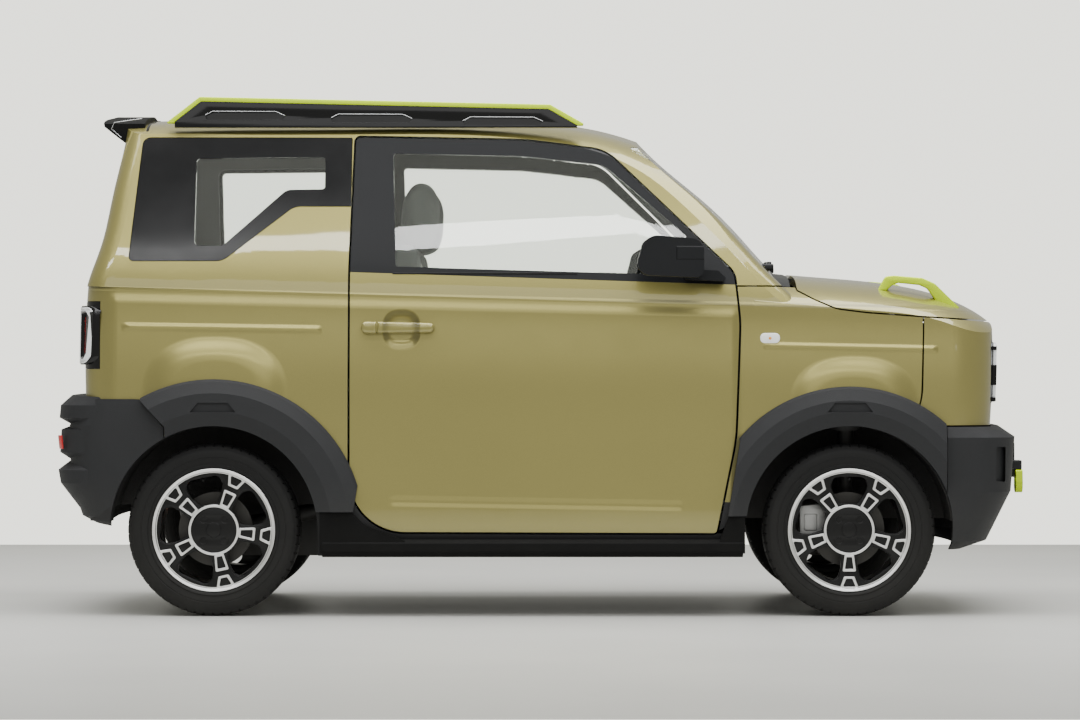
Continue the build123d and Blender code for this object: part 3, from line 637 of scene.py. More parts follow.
def metal(name, colour, roughness, scale, strength):
    """Bare or plated metal with a fine turned or cast surface."""
    made, tree, shader = material(name, colour, roughness, 1.0)
    grain = use_group(tree, GRAIN, Scale=scale, Mottle_Scale=12.0)
    tone = blend_colour(tree, grain.outputs["Mottle"], colour, dimmed(colour, 0.82))
    return grained(made, tree, shader, grain, tone, roughness, 0.12, strength)


def cloth(name, colour, light):
    """Knitted seat cloth with a soft sheen."""
    made, tree, shader = material(name, colour, 0.85, 0.0, Sheen_Weight=0.25, Sheen_Roughness=0.5)
    weave = use_group(tree, WEAVE, Scale=900.0)
    tree.links.new(blend_colour(tree, weave.outputs["Thread"], colour, light), shader.inputs["Base Color"])
    bump(tree, shader, weave.outputs["Height"], 0.5, 0.0006)
    return made


FINISH = {
    "panel_paint": paint("olive_gold_panel", False),
    "body_paint": paint("olive_gold_body", True),
    "shell_paint": paint("olive_gold_shell", True, 0.362),
    "gloss_black": moulded("gloss_black", (0.0030, 0.0030, 0.0036), (0.0045, 0.0045, 0.0052), 0.14, 300.0,
                           0.02, Specular_IOR_Level=0.35),
    "window_black": moulded("window_black", (0.0034, 0.0036, 0.0042), (0.0046, 0.0048, 0.0055), 0.20, 300.0,
                            0.01, Specular_IOR_Level=0.26),
    "frame_black": frame_black(),
    "satin_black": moulded("satin_black", (0.0085, 0.0092, 0.0105), (0.0115, 0.0122, 0.0140), 0.38, 900.0,
                           0.06, Specular_IOR_Level=0.30),
    "cladding": moulded("grained_cladding", (0.0150, 0.0156, 0.0175), (0.0205, 0.0212, 0.0235), 0.60, 620.0,
                        0.45, 0.12, Specular_IOR_Level=0.28),
    # painted shade: a much darker, duller copy of the grained cladding black for the sill covers, which sit
    # in shade; the rear wing shares it
    "sill_black_painted_shade": moulded("sill_black_painted_shade", (0.0024, 0.0025, 0.0028), (0.0036, 0.0037, 0.0040), 0.62, 620.0, 0.35,
                          0.04, Specular_IOR_Level=0.10),
    "accent": moulded("yellow_green_coat", (0.53, 0.72, 0.002), (0.57, 0.76, 0.003), 0.48, 500.0, 0.03,
                      Metallic=0.70),
    "window_glass": glass("window_glass", (0.93, 0.96, 0.94)),
    "lamp_lens": glass("lamp_lens", (0.96, 0.97, 0.97)),
    "tyre": moulded("tyre_rubber", (0.0042, 0.0042, 0.0045), (0.0068, 0.0068, 0.0070), 0.58, 900.0, 0.25,
                    0.06, Specular_IOR_Level=0.24),
    "wheel_black": moulded("wheel_black", (0.0028, 0.0028, 0.0031), (0.0044, 0.0044, 0.0048), 0.30, 500.0,
                           0.03, Specular_IOR_Level=0.30),
    "mirror_metal": metal("mirror_metal", (0.82, 0.83, 0.85), 0.06, 200.0, 0.01),
    "bright_line": metal("bright_trim_line", (0.62, 0.63, 0.65), 0.30, 400.0, 0.03),
    "blank_plate": moulded("blank_plate", (0.60, 0.61, 0.60), (0.66, 0.67, 0.66), 0.35, 60.0, 0.05),
    "machined": metal("machined_alloy", (0.93, 0.93, 0.93), 0.32, 1500.0, 0.05),
    # painted shade: the bare iron of the brake disc and hub is darkened to near black for the shade behind
    # the wheel
    "brake_iron_painted_shade": metal("brake_disc_iron_painted_shade", (0.075, 0.073, 0.070), 0.42, 1200.0, 0.10),
    "cast_silver": metal("cast_silver", (0.42, 0.42, 0.42), 0.42, 700.0, 0.25),
    "chassis_metal": moulded("coated_chassis_metal", (0.022, 0.022, 0.024), (0.035, 0.034, 0.033), 0.5,
                             260.0, 0.25, 0.4),
    "underbody": moulded("underbody_coat", (0.030, 0.030, 0.032), (0.042, 0.041, 0.040), 0.8, 160.0, 0.5,
                         0.5),
    # painted shade: the battery pack and motor case are darkened from a metal grey to near black for the
    # shade under the car
    "pack_case": moulded("battery_case_painted_shade", (0.030, 0.030, 0.032), (0.045, 0.045, 0.047), 0.55, 300.0, 0.2, 0.3),
    "trim": moulded("cabin_trim", (0.045, 0.046, 0.048), (0.060, 0.061, 0.063), 0.7, 800.0, 0.4),
    "pale_trim": moulded("pale_cabin_trim", (0.42, 0.42, 0.39), (0.48, 0.48, 0.45), 0.7, 800.0, 0.3),
    "seat_dark": cloth("dark_seat_cloth", (0.055, 0.062, 0.056), (0.095, 0.102, 0.092)),
    "seat_pale": cloth("pale_seat_cloth", (0.42, 0.43, 0.40), (0.60, 0.61, 0.57)),
    "spring": moulded("orange_spring_coat", (0.62, 0.16, 0.03), (0.72, 0.20, 0.04), 0.4, 400.0, 0.1, 0.2),
}


def glowing(name, colour, strength):
    """Milky light guide with a faint glow."""
    made, tree, shader = material(name, colour, 0.25, 0.0, Coat_Weight=0.8, Coat_Roughness=0.04)
    grain = use_group(tree, GRAIN, Scale=200.0, Mottle_Scale=30.0)
    tone = blend_colour(tree, grain.outputs["Mottle"], colour, dimmed(colour, 0.85))
    tree.links.new(tone, shader.inputs["Base Color"])
    tree.links.new(tone, shader.inputs["Emission Color"])
    shader.inputs["Emission Strength"].default_value = strength
    return made


FINISH["light_guide"] = glowing("pale_light_guide", (0.90, 0.92, 0.93), 0.15)
FINISH["red_lens"] = glowing("red_lens", (0.55, 0.012, 0.015), 0.05)
FINISH["amber_lens"] = glowing("amber_lens", (0.85, 0.30, 0.03), 0.05)
FINISH["screen"] = glowing("dash_screen", (0.012, 0.014, 0.018), 0.0)


def make_floor_finish():
    made, tree, shader = material("studio_floor", (0.62, 0.62, 0.60), 0.38)
    noise = add_node(tree, "TexNoise", None, Scale=1.2, Detail=5.0)
    object_place(tree, noise)
    tree.links.new(blend_colour(tree, noise.outputs["Fac"], (0.56, 0.56, 0.54), (0.66, 0.66, 0.63)),
                   shader.inputs["Base Color"])
    return made


# ---- studio ----

def area_light(name, place, aim, size, power, mirrored=True):
    lamp = bpy.data.objects.new(name, bpy.data.lights.new(name, "AREA"))
    lamp.data.shape = "RECTANGLE"
    lamp.data.size, lamp.data.size_y = size
    lamp.data.energy = power
    lamp.location = place
    lamp.visible_glossy = mirrored
    lamp.rotation_euler = (Vector(aim) - Vector(place)).to_track_quat("-Z", "Y").to_euler()
    bpy.context.scene.collection.objects.link(lamp)


FLOOR_HALF = 4.9
BACKDROP_COLOUR = (1.0, 0.995, 0.90, 1)
BACKDROP_SEEN = 2.15
BACKDROP_LIGHT = 0.50
CAMERA_PLACE = (-0.0025, -15.24, 0.812)
CAMERA_LENS = 152.6


def make_studio():
    corners = box_loop(-FLOOR_HALF, -FLOOR_HALF, FLOOR_HALF, FLOOR_HALF)
    floor = bpy.data.objects.new("floor", mesh_of("floor", corners, [(0, 1, 2, 3)]))
    floor.data.materials.append(make_floor_finish())
    bpy.context.scene.collection.objects.link(floor)
    world = bpy.data.worlds.new("pale_studio")
    world.use_nodes = True
    tree = world.node_tree
    backdrop = tree.nodes["Background"]
    backdrop.inputs[0].default_value = BACKDROP_COLOUR
    rays = add_node(tree, "LightPath")
    seen = math_node(tree, "MAXIMUM", rays.outputs["Is Camera Ray"], rays.outputs["Is Transmission Ray"])
    level = math_node(tree, "MULTIPLY_ADD", seen, BACKDROP_SEEN - BACKDROP_LIGHT, BACKDROP_LIGHT)
    tree.links.new(level, backdrop.inputs[1])
    bpy.context.scene.world = world
    area_light("overhead_softbox", (0, -0.6, 4.2), (0, 0, 0), (6.5, 3.6), 420)
    area_light("side_strip", (0, -4.0, 3.78), (0, 0, 1.2), (7.0, 0.24), 95)
    area_light("side_softbox", (0.4, -6.5, 2.6), (0, 0, 0.7), (7.0, 1.6), 55)
    area_light("far_softbox", (-0.5, 5.0, 3.6), (0, 0, 0.9), (7.0, 2.2), 150, False)


def make_camera():
    camera = bpy.data.objects.new("camera", bpy.data.cameras.new("camera"))
    camera.data.lens = CAMERA_LENS
    camera.data.sensor_width = 36
    camera.location = CAMERA_PLACE
    camera.rotation_euler = (math.pi / 2, 0, 0)
    bpy.context.scene.collection.objects.link(camera)
    bpy.context.scene.camera = camera


# ---- wheels ----

SPOKE_START = {"front": 54, "rear": 66}
TREAD_HALF = 0.058
GROOVES = (-0.040, -0.014, 0.014, 0.040)
GROOVE_WIDTH = 0.007
GROOVE_DEPTH = 0.0062
BLOCKS = 58
# Outer half of the tyre's side, bead to shoulder, as (radius, w).
TYRE_WALL = [(0.1956, 0.0700), (0.1975, 0.0765), (0.2020, 0.0800), (0.2070, 0.0812), (0.2090, 0.0792),
             (0.2130, 0.0796), (0.2240, 0.0822), (0.2275, 0.0823), (0.2285, 0.0813), (0.2310, 0.0813),
             (0.2320, 0.0820), (0.2420, 0.0812), (0.2500, 0.0796), (0.2570, 0.0768), (0.2590, 0.0748),
             (0.2620, 0.0738), (0.2665, 0.0700), (0.2700, 0.0650), (0.2722, TREAD_HALF)]
# Bright lines on a spoke: its inner arm, the arm's slot, its outer claw and the claw's opening.
SPOKE_LINES = [[(0.0800, 0.0150, 0.001), (0.1315, 0.0215, 0.004)],
               [(0.0860, 0.0085, 0.002), (0.1235, 0.0135, 0.003)],
               [(0.1475, 0.0165, 0.005), (0.1838, 0.0300, 0.001)],
               [(0.1545, 0.0098, 0.003), (0.1800, 0.0205, 0.004)]]
NUT_CIRCLE = 0.047
NUT_PLACES = [(NUT_CIRCLE * math.cos(math.radians(a)), NUT_CIRCLE * math.sin(math.radians(a)))
              for a in (45, 135, 225, 315)]


def wheel_place(corner):
    """Wheel frame: u forward, v up, w outward from the tyre's middle plane."""
    low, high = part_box("tyre_" + corner)
    centre = (low + high) / 2
    side = RIGHT if centre.y < 0 else LEFT
    return Matrix(((1, 0, 0, centre.x), (0, 0, side, centre.y), (0, 1, 0, centre.z), (0, 0, 0, 1)))


def tread_profile():
    """Across the tread with its grooves, as (radius, w)."""
    points = []
    for groove in GROOVES:
        left = groove - GROOVE_WIDTH / 2
        right = groove + GROOVE_WIDTH / 2
        points += [(tyre_radius - 0.0003, left), (tyre_radius - GROOVE_DEPTH, left + 0.0014),
                   (tyre_radius - GROOVE_DEPTH, right - 0.0014), (tyre_radius - 0.0003, right)]
    return points


def make_tyre(corner):
    profile = [(r, -w) for r, w in TYRE_WALL] + tread_profile() + list(reversed(TYRE_WALL))
    profile += [(0.1782, 0.0682), (0.1782, -0.0682)]
    shoulder = GROOVES[-1] - GROOVE_WIDTH / 2
    steps = ((0.0, 0), (0.03, 1), (0.13, 1), (0.16, 0), (0.55, 0))
    points = []
    for block in range(BLOCKS):
        for share, cut in steps:
            for r, w in profile:
                turn = math.tau * (block + share + 0.35 * (w > 0)) / BLOCKS
                lowered = cut and r > 0.2655 and abs(w) > shoulder
                inner_cut = cut and r > tyre_radius - 0.001 and abs(w) < 0.02
                radius = r - 0.0045 * bool(lowered) * (r > 0.266) - 0.003 * bool(inner_cut)
                points.append((radius * math.cos(turn), radius * math.sin(turn), w))
    count = len(profile)
    rings = BLOCKS * len(steps)
    faces = [(k * count + i, k * count + (i + 1) % count, (k + 1) % rings * count + (i + 1) % count,
              (k + 1) % rings * count + i) for k in range(rings) for i in range(count)]
    mesh = placed(mesh_of("tyre_with_tread_" + corner, points, faces), wheel_place(corner))
    piece(mesh, "tyre", "wheel_" + corner, "tyre", ["tyre_" + corner])


def polar(points, turn):
    """Corners given along a spoke as (radius out, half width, corner radius), both edges, turned in place."""
    loop = [(r, half, c) for r, half, c in points] + [(r, -half, c) for r, half, c in reversed(points)]
    line = rounded(loop, 4)
    cos, sin = math.cos(turn), math.sin(turn)
    return [Vector((p.x * cos - p.y * sin, p.x * sin + p.y * cos)) for p in line]


def make_rim(corner):
    place = wheel_place(corner)
    body = "wheel_" + corner
    start = SPOKE_START[corner.split("_")[0]]
    spokes = [math.radians(start + 72 * i) for i in range(5)]
    gaps = [turn + math.radians(36) for turn in spokes]
    windows = [polar([(0.083, 0.027, 0.006), (0.112, 0.048, 0.010), (0.140, 0.058, 0.016),
                      (0.168, 0.049, 0.018)], turn) for turn in gaps]
    face = plate("wheel_face_" + corner, [circle(0.1846, steps=120)] + windows, 0.044, 0.0640, 0.002)
    pockets = [polar([(0.083, 0.0300, 0.006), (0.112, 0.0510, 0.010), (0.142, 0.0615, 0.016),
                      (0.1715, 0.052, 0.018)], turn) for turn in gaps]
    lip = plate("wheel_face_lip_" + corner, [circle(0.1842, steps=120)] + pockets, 0.0630, 0.0672, 0.0016)
    barrel = lathe("wheel_barrel_" + corner,
                   [(0.1775, 0.0690), (0.1775, -0.0690), (0.1950, -0.0700), (0.1950, -0.0780),
                    (0.1900, -0.0785), (0.1690, -0.0740), (0.1660, -0.0600), (0.1690, 0.0400),
                    (0.1800, 0.0560), (0.1838, 0.0690)])
    dark = merged("wheel_black_" + corner, [face, lip, barrel])
    piece(placed(dark, place), "wheel_black", body, "alloy", ["rim_" + corner])
    ring = lathe("rim_ring_" + corner,
                 [(0.1778, 0.0688), (0.1832, 0.0680), (0.1836, 0.0722), (0.1855, 0.0752), (0.1935, 0.0784),
                  (0.1950, 0.0775), (0.1950, 0.0698)])
    hub_ring = plate("hub_ring_" + corner, [circle(0.0805), circle(0.0725)], 0.0665, 0.0702, 0.0012)
    lines = [polar(line, turn) for line in SPOKE_LINES for turn in spokes]
    inlay = plate("spoke_lines_" + corner, lines, 0.0665, 0.0700, 0.0012)
    bright = merged("machined_lines_" + corner, [ring, hub_ring, inlay])
    piece(placed(bright, place), "machined", body, "alloy")
    holes = [circle(0.0105, spot, 20) for spot in NUT_PLACES]
    cap = plate("hub_cap_" + corner, [circle(0.0722)] + holes, 0.0560, 0.0688, 0.0018)
    button = lathe("cap_button_" + corner,
                   [(0.0, 0.0722), (0.012, 0.0720), (0.0225, 0.0708), (0.0250, 0.0680), (0.0250, 0.0600),
                    (0.0, 0.0600)], 48, False)
    nut = lathe("lug_nuts_" + corner, [(0.0, 0.0655), (0.0060, 0.0655), (0.0078, 0.0640), (0.0078, 0.0500),
                                       (0.0, 0.0500)], 6, False, 20)
    nuts = copies(nut, [Matrix.Translation((*spot, 0)) for spot in NUT_PLACES])
    centre = merged("hub_centre_" + corner, [cap, button, nuts])
    piece(placed(centre, place), "wheel_black", body, "alloy")
    hub = lathe("hub_and_disc_" + corner,
                [(0.0245, 0.0500), (0.0520, 0.0480), (0.0560, 0.0200), (0.0640, -0.0200), (0.0660, -0.0235),
                 (0.1180, -0.0235), (0.1180, -0.0300), (0.1120, -0.0305), (0.1120, -0.0350),
                 (0.1180, -0.0355), (0.1180, -0.0420), (0.0245, -0.0420)], 72)
    piece(placed(hub, place), "brake_iron_painted_shade", body, "alloy")
    valve = tube("valve_stem_" + corner, [(0.1700, 0.0, 0.044), (0.1640, 0.0, 0.060), (0.1600, 0.0, 0.072)],
                 0.0032)
    valve.transform(Matrix.Rotation(gaps[0], 4, "Z"))
    piece(placed(valve, place), "tyre", body, "alloy")


# ---- points on the body ----

def surface_of(mesh):
    """Search tree over a mesh's faces."""
    return BVHTree.FromPolygons([v.co for v in mesh.vertices], [p.vertices for p in mesh.polygons])


def surface(node):
    """Search tree over a CAD node's faces."""
    return surface_of(nodes[node].data)


def carved(name, base, steps):
    """A closed mesh joined with, cut by or kept inside others; steps are (operation, mesh)."""
    scene = bpy.context.scene.collection.objects
    holder = bpy.data.objects.new(name, base)
    scene.link(holder)
    tools = []
    for operation, mesh in steps:
        tool = bpy.data.objects.new("tool", mesh)
        scene.link(tool)
        tools.append(tool)
        change = holder.modifiers.new(operation, "BOOLEAN")
        change.object = tool
        change.operation = operation
        change.solver = "EXACT"
    result = evaluated(holder)
    for made in [holder] + tools:
        bpy.data.objects.remove(made)
    result.name = name
    return shade(result, 12)


def touch(tree, origin, direction):
    """Where a straight line first meets a surface, and the surface's outward direction there."""
    point, normal, _, _ = tree.ray_cast(Vector(origin), Vector(direction))
    return point, normal if normal.dot(Vector(direction)) < 0 else -normal


def basis(across, up, out, centre):
    """Frame with its three directions and its place."""
    return Matrix((*zip(across, up, out, centre), (0, 0, 0, 1)))


def stand(point, normal):
    """Frame at a point on a surface: u level, v up, w out of the surface."""
    across = Vector((0, 0, 1)).cross(normal).normalized()
    up = normal.cross(across)
    return basis(across, up, normal, point)


# ---- bumpers and wheel flares ----

def plan_loop(half, front, rear, nose, tail):
    """Bumper level in plan; nose and tail hold (bow, corner radius, side reach, side step)."""
    bow, radius, reach, step = nose
    back_bow, back_radius, back_reach, back_step = tail
    shares = [-0.66, -0.44, -0.22, 0.0, 0.22, 0.44, 0.66]
    ahead = [(front - bow * share ** 2, (half - step) * share, 0) for share in shares]
    behind = [(rear + back_bow * share ** 2, -(half - back_step) * share, 0) for share in shares]
    side = [(front - bow, half - step, radius), (front - reach, half - 0.006, 0),
            (rear + back_reach, half - 0.006, 0), (rear + back_bow, half - back_step, back_radius)]
    return rounded(ahead + side + behind + [(x, -y, r) for x, y, r in reversed(side)], 10)


def ruled(name, levels, nose, tail, inset=0.0):
    """Closed form with straight flanks between levels (z, half width, front, rear)."""
    points, faces = [], []
    for z, half, front, rear in levels:
        loop = plan_loop(half - inset, front - inset, rear + inset, nose, tail)
        points += [(p.x, p.y, z) for p in loop]
    count = len(points) // len(levels)
    faces.append(tuple(reversed(range(count))))
    faces.append(tuple(range(len(points) - count, len(points))))
    for low in range(0, len(points) - count, count):
        for k in range(count):
            after = (k + 1) % count
            faces.append((low + k, low + after, low + count + after, low + count + k))
    return mesh_of(name, points, faces)


def through(name, loop, half):
    """Block drawn in side view that runs across the car, as far to each side as half."""
    return placed(plate(name, [loop], -half, half, SHARP), side_view(LEFT))


def wheel_cut(axle):
    """Drum that clears both wheels of an axle and stops at the wheel houses."""
    drum = through("wheel_cut", circle(arch_radius, (axle, axle_height), 96), 0.95)
    middle = through("middle", box_loop(axle - 0.5, 0, axle + 0.5, 1), 0.30)
    return carved("cut", drum, [("DIFFERENCE", middle)])


SHARP = 0.0005
FRONT_NOSE = (0.052, 0.190, 0.400, 0.046)
REAR_NOSE = (0.034, 0.130, 0.380, 0.040)
PLAIN_END = (0.010, 0.020, 0.060, 0.004)
BUMPER_FACE = [(0.208, 0.712, 1.384, 0.700), (0.236, 0.742, 1.462, 0.700), (0.392, 0.770, 1.538, 0.700),
               (0.566, 0.774, 1.550, 0.700), (0.600, 0.762, 1.500, 0.700)]
BUMPER_WALL = 0.034
BUMPER_POCKET = 0.010
INTAKE = [(-0.400, 0.300, 0.020), (0.400, 0.300, 0.020), (0.470, 0.372, 0.020), (0.430, 0.400, 0.010),
          (-0.430, 0.400, 0.010), (-0.470, 0.372, 0.020)]
CORNER_SLOT = [(1.446, 0.428, 0.004), (1.478, 0.424, 0.004), (1.478, 0.536, 0.004), (1.446, 0.536, 0.004)]


def make_front_bumper():
    """Crisp front bumper with its recessed intake, corner slots and the tow eyes' brackets."""
    tall = [(BUMPER_FACE[0][0] - 0.010,) + BUMPER_FACE[0][1:]] + BUMPER_FACE[1:-1]
    tall.append((BUMPER_FACE[-1][0] + 0.010,) + BUMPER_FACE[-1][1:])
    keep = through("keep", box_loop(1.288, 0.1, 1.7, 0.7), 0.9)

    def pocket(loop, low, high, place):
        floor = ruled("pocket_floor", tall, FRONT_NOSE, PLAIN_END, BUMPER_POCKET)
        block = placed(plate("pocket", [loop], low, high, SHARP), place)
        return carved("pocket", block, [("DIFFERENCE", floor)])

    cuts = [pocket(INTAKE, 1.30, 1.70, end_view(0, 1))]
    cuts += [pocket(CORNER_SLOT, 0.60, 0.90, side_view(side)) for side in SIDES.values()]
    steps = [("DIFFERENCE", ruled("inside", tall, FRONT_NOSE, PLAIN_END, BUMPER_WALL)), ("INTERSECT", keep)]
    steps += [("DIFFERENCE", cut) for cut in cuts]
    steps.append(("DIFFERENCE", wheel_cut(front_axle)))
    face = carved("front_bumper_face", ruled("face", BUMPER_FACE, FRONT_NOSE, PLAIN_END), steps)
    piece(face, "cladding", "chassis", "cladding", ["front_bumper"])
    parts = []
    for v in (0.322, 0.345, 0.368):
        bar = rounded(box_loop(-0.410, v - 0.004, 0.410, v + 0.004, 0.002), 2)
        parts.append(laid("intake_bar", [bar], -0.001, 0.006, 0.001, surface_of(face), "front"))
    piece(merged("intake_bars", parts), "satin_black", "chassis", "cladding")
    lugs = [moved(soft_block("tow_bracket", (0.062, 0.060, 0.030), 0.004), 1.5345, u, 0.4710)
            for u in (-0.315, 0.315)]
    piece(merged("tow_brackets", lugs), "satin_black", "chassis", "cladding")
    return surface_of(face)


def make_rear_bumper():
    """Crisp rear bumper with three stacked folds."""
    def form(name, rows, inset=0.0):
        return ruled(name, [(z, half, -0.900, -rear) for z, half, rear in rows], PLAIN_END, REAR_NOSE, inset)

    core = form("core", [(0.272, 0.716, 1.412), (0.316, 0.746, 1.490), (0.420, 0.764, 1.526),
                         (0.604, 0.768, 1.530), (0.688, 0.764, 1.500)])
    folds = [[(0.610, 0.744, 1.532), (0.628, 0.750, 1.564), (0.668, 0.750, 1.560), (0.700, 0.746, 1.524),
              (0.704, 0.740, 1.496)],
             [(0.498, 0.744, 1.532), (0.518, 0.750, 1.562), (0.590, 0.750, 1.558), (0.600, 0.744, 1.532)],
             [(0.340, 0.736, 1.500), (0.420, 0.750, 1.560), (0.462, 0.750, 1.5675), (0.486, 0.744, 1.536)]]
    clip = [(-1.273, 0.687), (-1.700, 0.712), (-1.700, 0.200), (-1.194, 0.200), (-1.194, 0.598)]
    keep = through("keep", clip, 0.9)
    steps = [("UNION", form("fold", rows)) for rows in folds]
    steps.append(("DIFFERENCE", form("inside", [(0.200, 0.690, 1.440), (0.400, 0.730, 1.476),
                                                (0.720, 0.730, 1.474)])))
    steps.append(("INTERSECT", keep))
    steps.append(("DIFFERENCE", wheel_cut(rear_axle)))
    piece(carved("rear_bumper_face", core, steps), "cladding", "chassis", "cladding", ["rear_bumper"])


FLARE_FACE = 0.783
FLARES = {"front": (front_axle, 0.455, [(0.592, 0.318), (0.631, 0.556), (0.480, 0.900), (1.284, 0.900),
                                        (1.284, 0.318)]),
          "rear": (rear_axle, 0.478, [(-0.594, 0.331), (-0.500, 0.900), (-1.269, 0.900), (-1.269, 0.685),
                                      (-1.190, 0.600), (-1.190, 0.331)])}


def make_flares():
    """Arch flares with a chamfered rim and a stiffening pocket over each wheel."""
    parts = []
    for axle, radius, clip in FLARES.values():
        section = [(arch_radius, 0.690), (arch_radius, FLARE_FACE - 0.015), (arch_radius + 0.046, FLARE_FACE),
                   (radius - 0.044, FLARE_FACE - 0.002), (radius - 0.008, FLARE_FACE - 0.020),
                   (radius, FLARE_FACE - 0.028), (radius, 0.690)]
        top = axle_height + arch_radius + 0.074
        pocket = [(axle - 0.072, top - 0.030), (axle + 0.072, top - 0.030), (axle + 0.048, top),
                  (axle - 0.048, top)]
        for side in SIDES.values():
            ring = moved(lathe("flare_ring", section, 120), axle, axle_height, 0)
            keep = plate("keep", [clip], 0.600, 0.900, SHARP)
            step = plate("pocket", [pocket], FLARE_FACE - 0.009, 0.900, SHARP)
            shape = carved("flare", ring, [("INTERSECT", keep), ("DIFFERENCE", step)])
            parts.append(placed(shape, side_view(side)))
    piece(shade(merged("arch_flares", parts), 12), "cladding", "chassis", "cladding", ["wheel_flares"])


# ---- roof rails and rear wing ----

RAIL_LINE = [(-1.196, 1.574), (-1.092, 1.6545), (0.030, 1.6300), (0.148, 1.5630)]
RAIL_INNER = 0.540
RAIL_OUTER = 0.588
RAIL_BASE = 1.556
STRIP = 0.0150
RAIL_SLOTS = ((-1.074, -0.818), (-0.671, -0.412), (-0.249, 0.007))


def lowered(line, drop):
    """The middle runs of a line moved down and its ends moved in by the same width."""
    (x0, z0), (x1, z1), (x2, z2), (x3, z3) = line
    return [(x0 + 1.6 * drop, z0), (x1 + 0.30 * drop, z1 - drop), (x2 - 0.35 * drop, z2 - drop),
            (x3 - 2.1 * drop, z3)]


def rail_slot(x0, x1):
    """Long recess in the rail's side, lower at its ends; u forward, v up."""
    slope = (RAIL_LINE[2][1] - RAIL_LINE[1][1]) / (RAIL_LINE[2][0] - RAIL_LINE[1][0])
    top = RAIL_LINE[1][1] + slope * (0.5 * (x0 + x1) - RAIL_LINE[1][0]) - 0.043
    return [(x0 + 0.006, top - 0.028), (x0, top - 0.012), (x0 + 0.024, top), (x1 - 0.030, top - 0.001),
            (x1, top - 0.014), (x1 - 0.010, top - 0.027)]


def make_rails():
    inner_line = lowered(RAIL_LINE, STRIP)
    outline = [(x, z, 0.004) for x, z in inner_line]
    outline = [(inner_line[0][0], RAIL_BASE, 0), *outline, (inner_line[-1][0], RAIL_BASE, 0)]
    slots = [rail_slot(x0, x1) for x0, x1 in RAIL_SLOTS]
    loops = [outline] + [rounded([(u, v, 0.003) for u, v in slot], 3) for slot in slots]
    strip = [(RAIL_LINE[0][0], RAIL_LINE[0][1] - 0.004, 0.001)] + [(x, z, 0.012) for x, z in RAIL_LINE]
    strip += [(x, z, 0.010) for x, z in reversed(inner_line)]
    strip.append((inner_line[0][0], RAIL_LINE[0][1] - 0.004, 0.001))
    for word, side in SIDES.items():
        core = plate("rail_core_" + word, [loops[0]], RAIL_INNER, RAIL_OUTER - 0.010, 0.003)
        cover = plate("rail_cover_" + word, loops, RAIL_OUTER - 0.0105, RAIL_OUTER, 0.0012)
        side_piece(side, merged("roof_rail_" + word, [core, cover]), "gloss_black", "chassis",
                   "gloss_black", once("roof_rails", side))
        band = plate("rail_strip_" + word, [rounded(strip, 4)], RAIL_INNER - 0.0005, RAIL_OUTER + 0.0008,
                     0.002)
        side_piece(side, band, "accent", "chassis", "accent")
        lips = []
        for slot in slots:
            path = [(u, v, RAIL_OUTER - 0.0006) for u, v in slot[1:5]]
            lips.append(tube("rail_slot_lip_" + word, path, 0.0011, False))
        side_piece(side, merged("rail_slot_lips_" + word, lips), "bright_line", "chassis", "trim")


def make_wing_lines():
    """Fine bright edge on each end of the rear wing, and the high brake lamp under it."""
    low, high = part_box("spoiler")
    path = [(-1.284, 1.589), (-1.372, 1.5765), (-1.382, 1.556), (-1.350, 1.528)]
    for word, side in SIDES.items():
        line = tube("wing_edge_" + word, [(x, side * (high.y + 0.0002), z) for x, z in path], 0.0012, False)
        piece(line, "bright_line", "tailgate", "trim")
    lamp = soft_block("high_brake_lamp", (0.010, 0.260, 0.012), 0.003)
    piece(moved(lamp, low.x + 0.052, 0, low.z + 0.034), "red_lens", "tailgate", "tail_lens")


# ---- lamps ----

HEAD_LAMP = box_loop(0.321, 0.675, 0.591, 0.871, 0.030)
TAIL_RING = [(0.580, 0.797, 0.026), (0.700, 0.797, 0.026), (0.716, 0.820, 0.020), (0.716, 0.962, 0.020),
             (0.700, 0.985, 0.026), (0.580, 0.985, 0.026)]
HEAD_LAMP_RISE = 0.0135
LAMP_CUP = [(0.0225, 0.020), (0.0205, 0.0205), (0.0135, 0.004), (0.0, 0.002), (0.0, 0.0), (0.0225, 0.0)]
LAMP_DOME = [(0.0, 0.0165), (0.0060, 0.0155), (0.0105, 0.0120), (0.0130, 0.0060), (0.0130, 0.0030),
             (0.0, 0.0030)]
TAIL_LAMP_RISE = 0.0180


def shrunk(corners, amount):
    """Outline drawn in about its middle by an even width."""
    us = [c[0] for c in corners]
    vs = [c[1] for c in corners]
    mid_u, mid_v = (min(us) + max(us)) / 2, (min(vs) + max(vs)) / 2
    half_u, half_v = (max(us) - min(us)) / 2, (max(vs) - min(vs)) / 2
    return [(mid_u + (u - mid_u) * (1 - amount / half_u), mid_v + (v - mid_v) * (1 - amount / half_v),
             max(r - amount, 0.004)) for u, v, r in corners]


def laid(name, loops, low, high, bevel, skin, view):
    """Plate (u level, v up, w outward) bent onto a surface seen from the front or rear.

    A corner that passes the surface's edge takes the depth of the nearest corner on it.
    """
    mesh = plate(name, loops, low, high, bevel)
    out = 1 if view == "front" else -1
    depths = {}
    for vertex in mesh.vertices:
        u, v, _ = vertex.co
        hit = skin.ray_cast(Vector((3.0 * out, u, v)), Vector((-out, 0, 0)))[0]
        if hit:
            depths[vertex.index] = (Vector((u, v)), hit.x)
    for vertex in mesh.vertices:
        u, v, w = vertex.co
        here = Vector((u, v))
        known = depths.get(vertex.index) or min(depths.values(), key=lambda other: (other[0] - here).length)
        vertex.co = (known[1] + out * w, u, v)
    mesh.update()
    return shade(outward(mesh))


def across(corners, side):
    """Corners drawn for the left side, for either side."""
    return [(side * u, v, r) for u, v, r in corners]


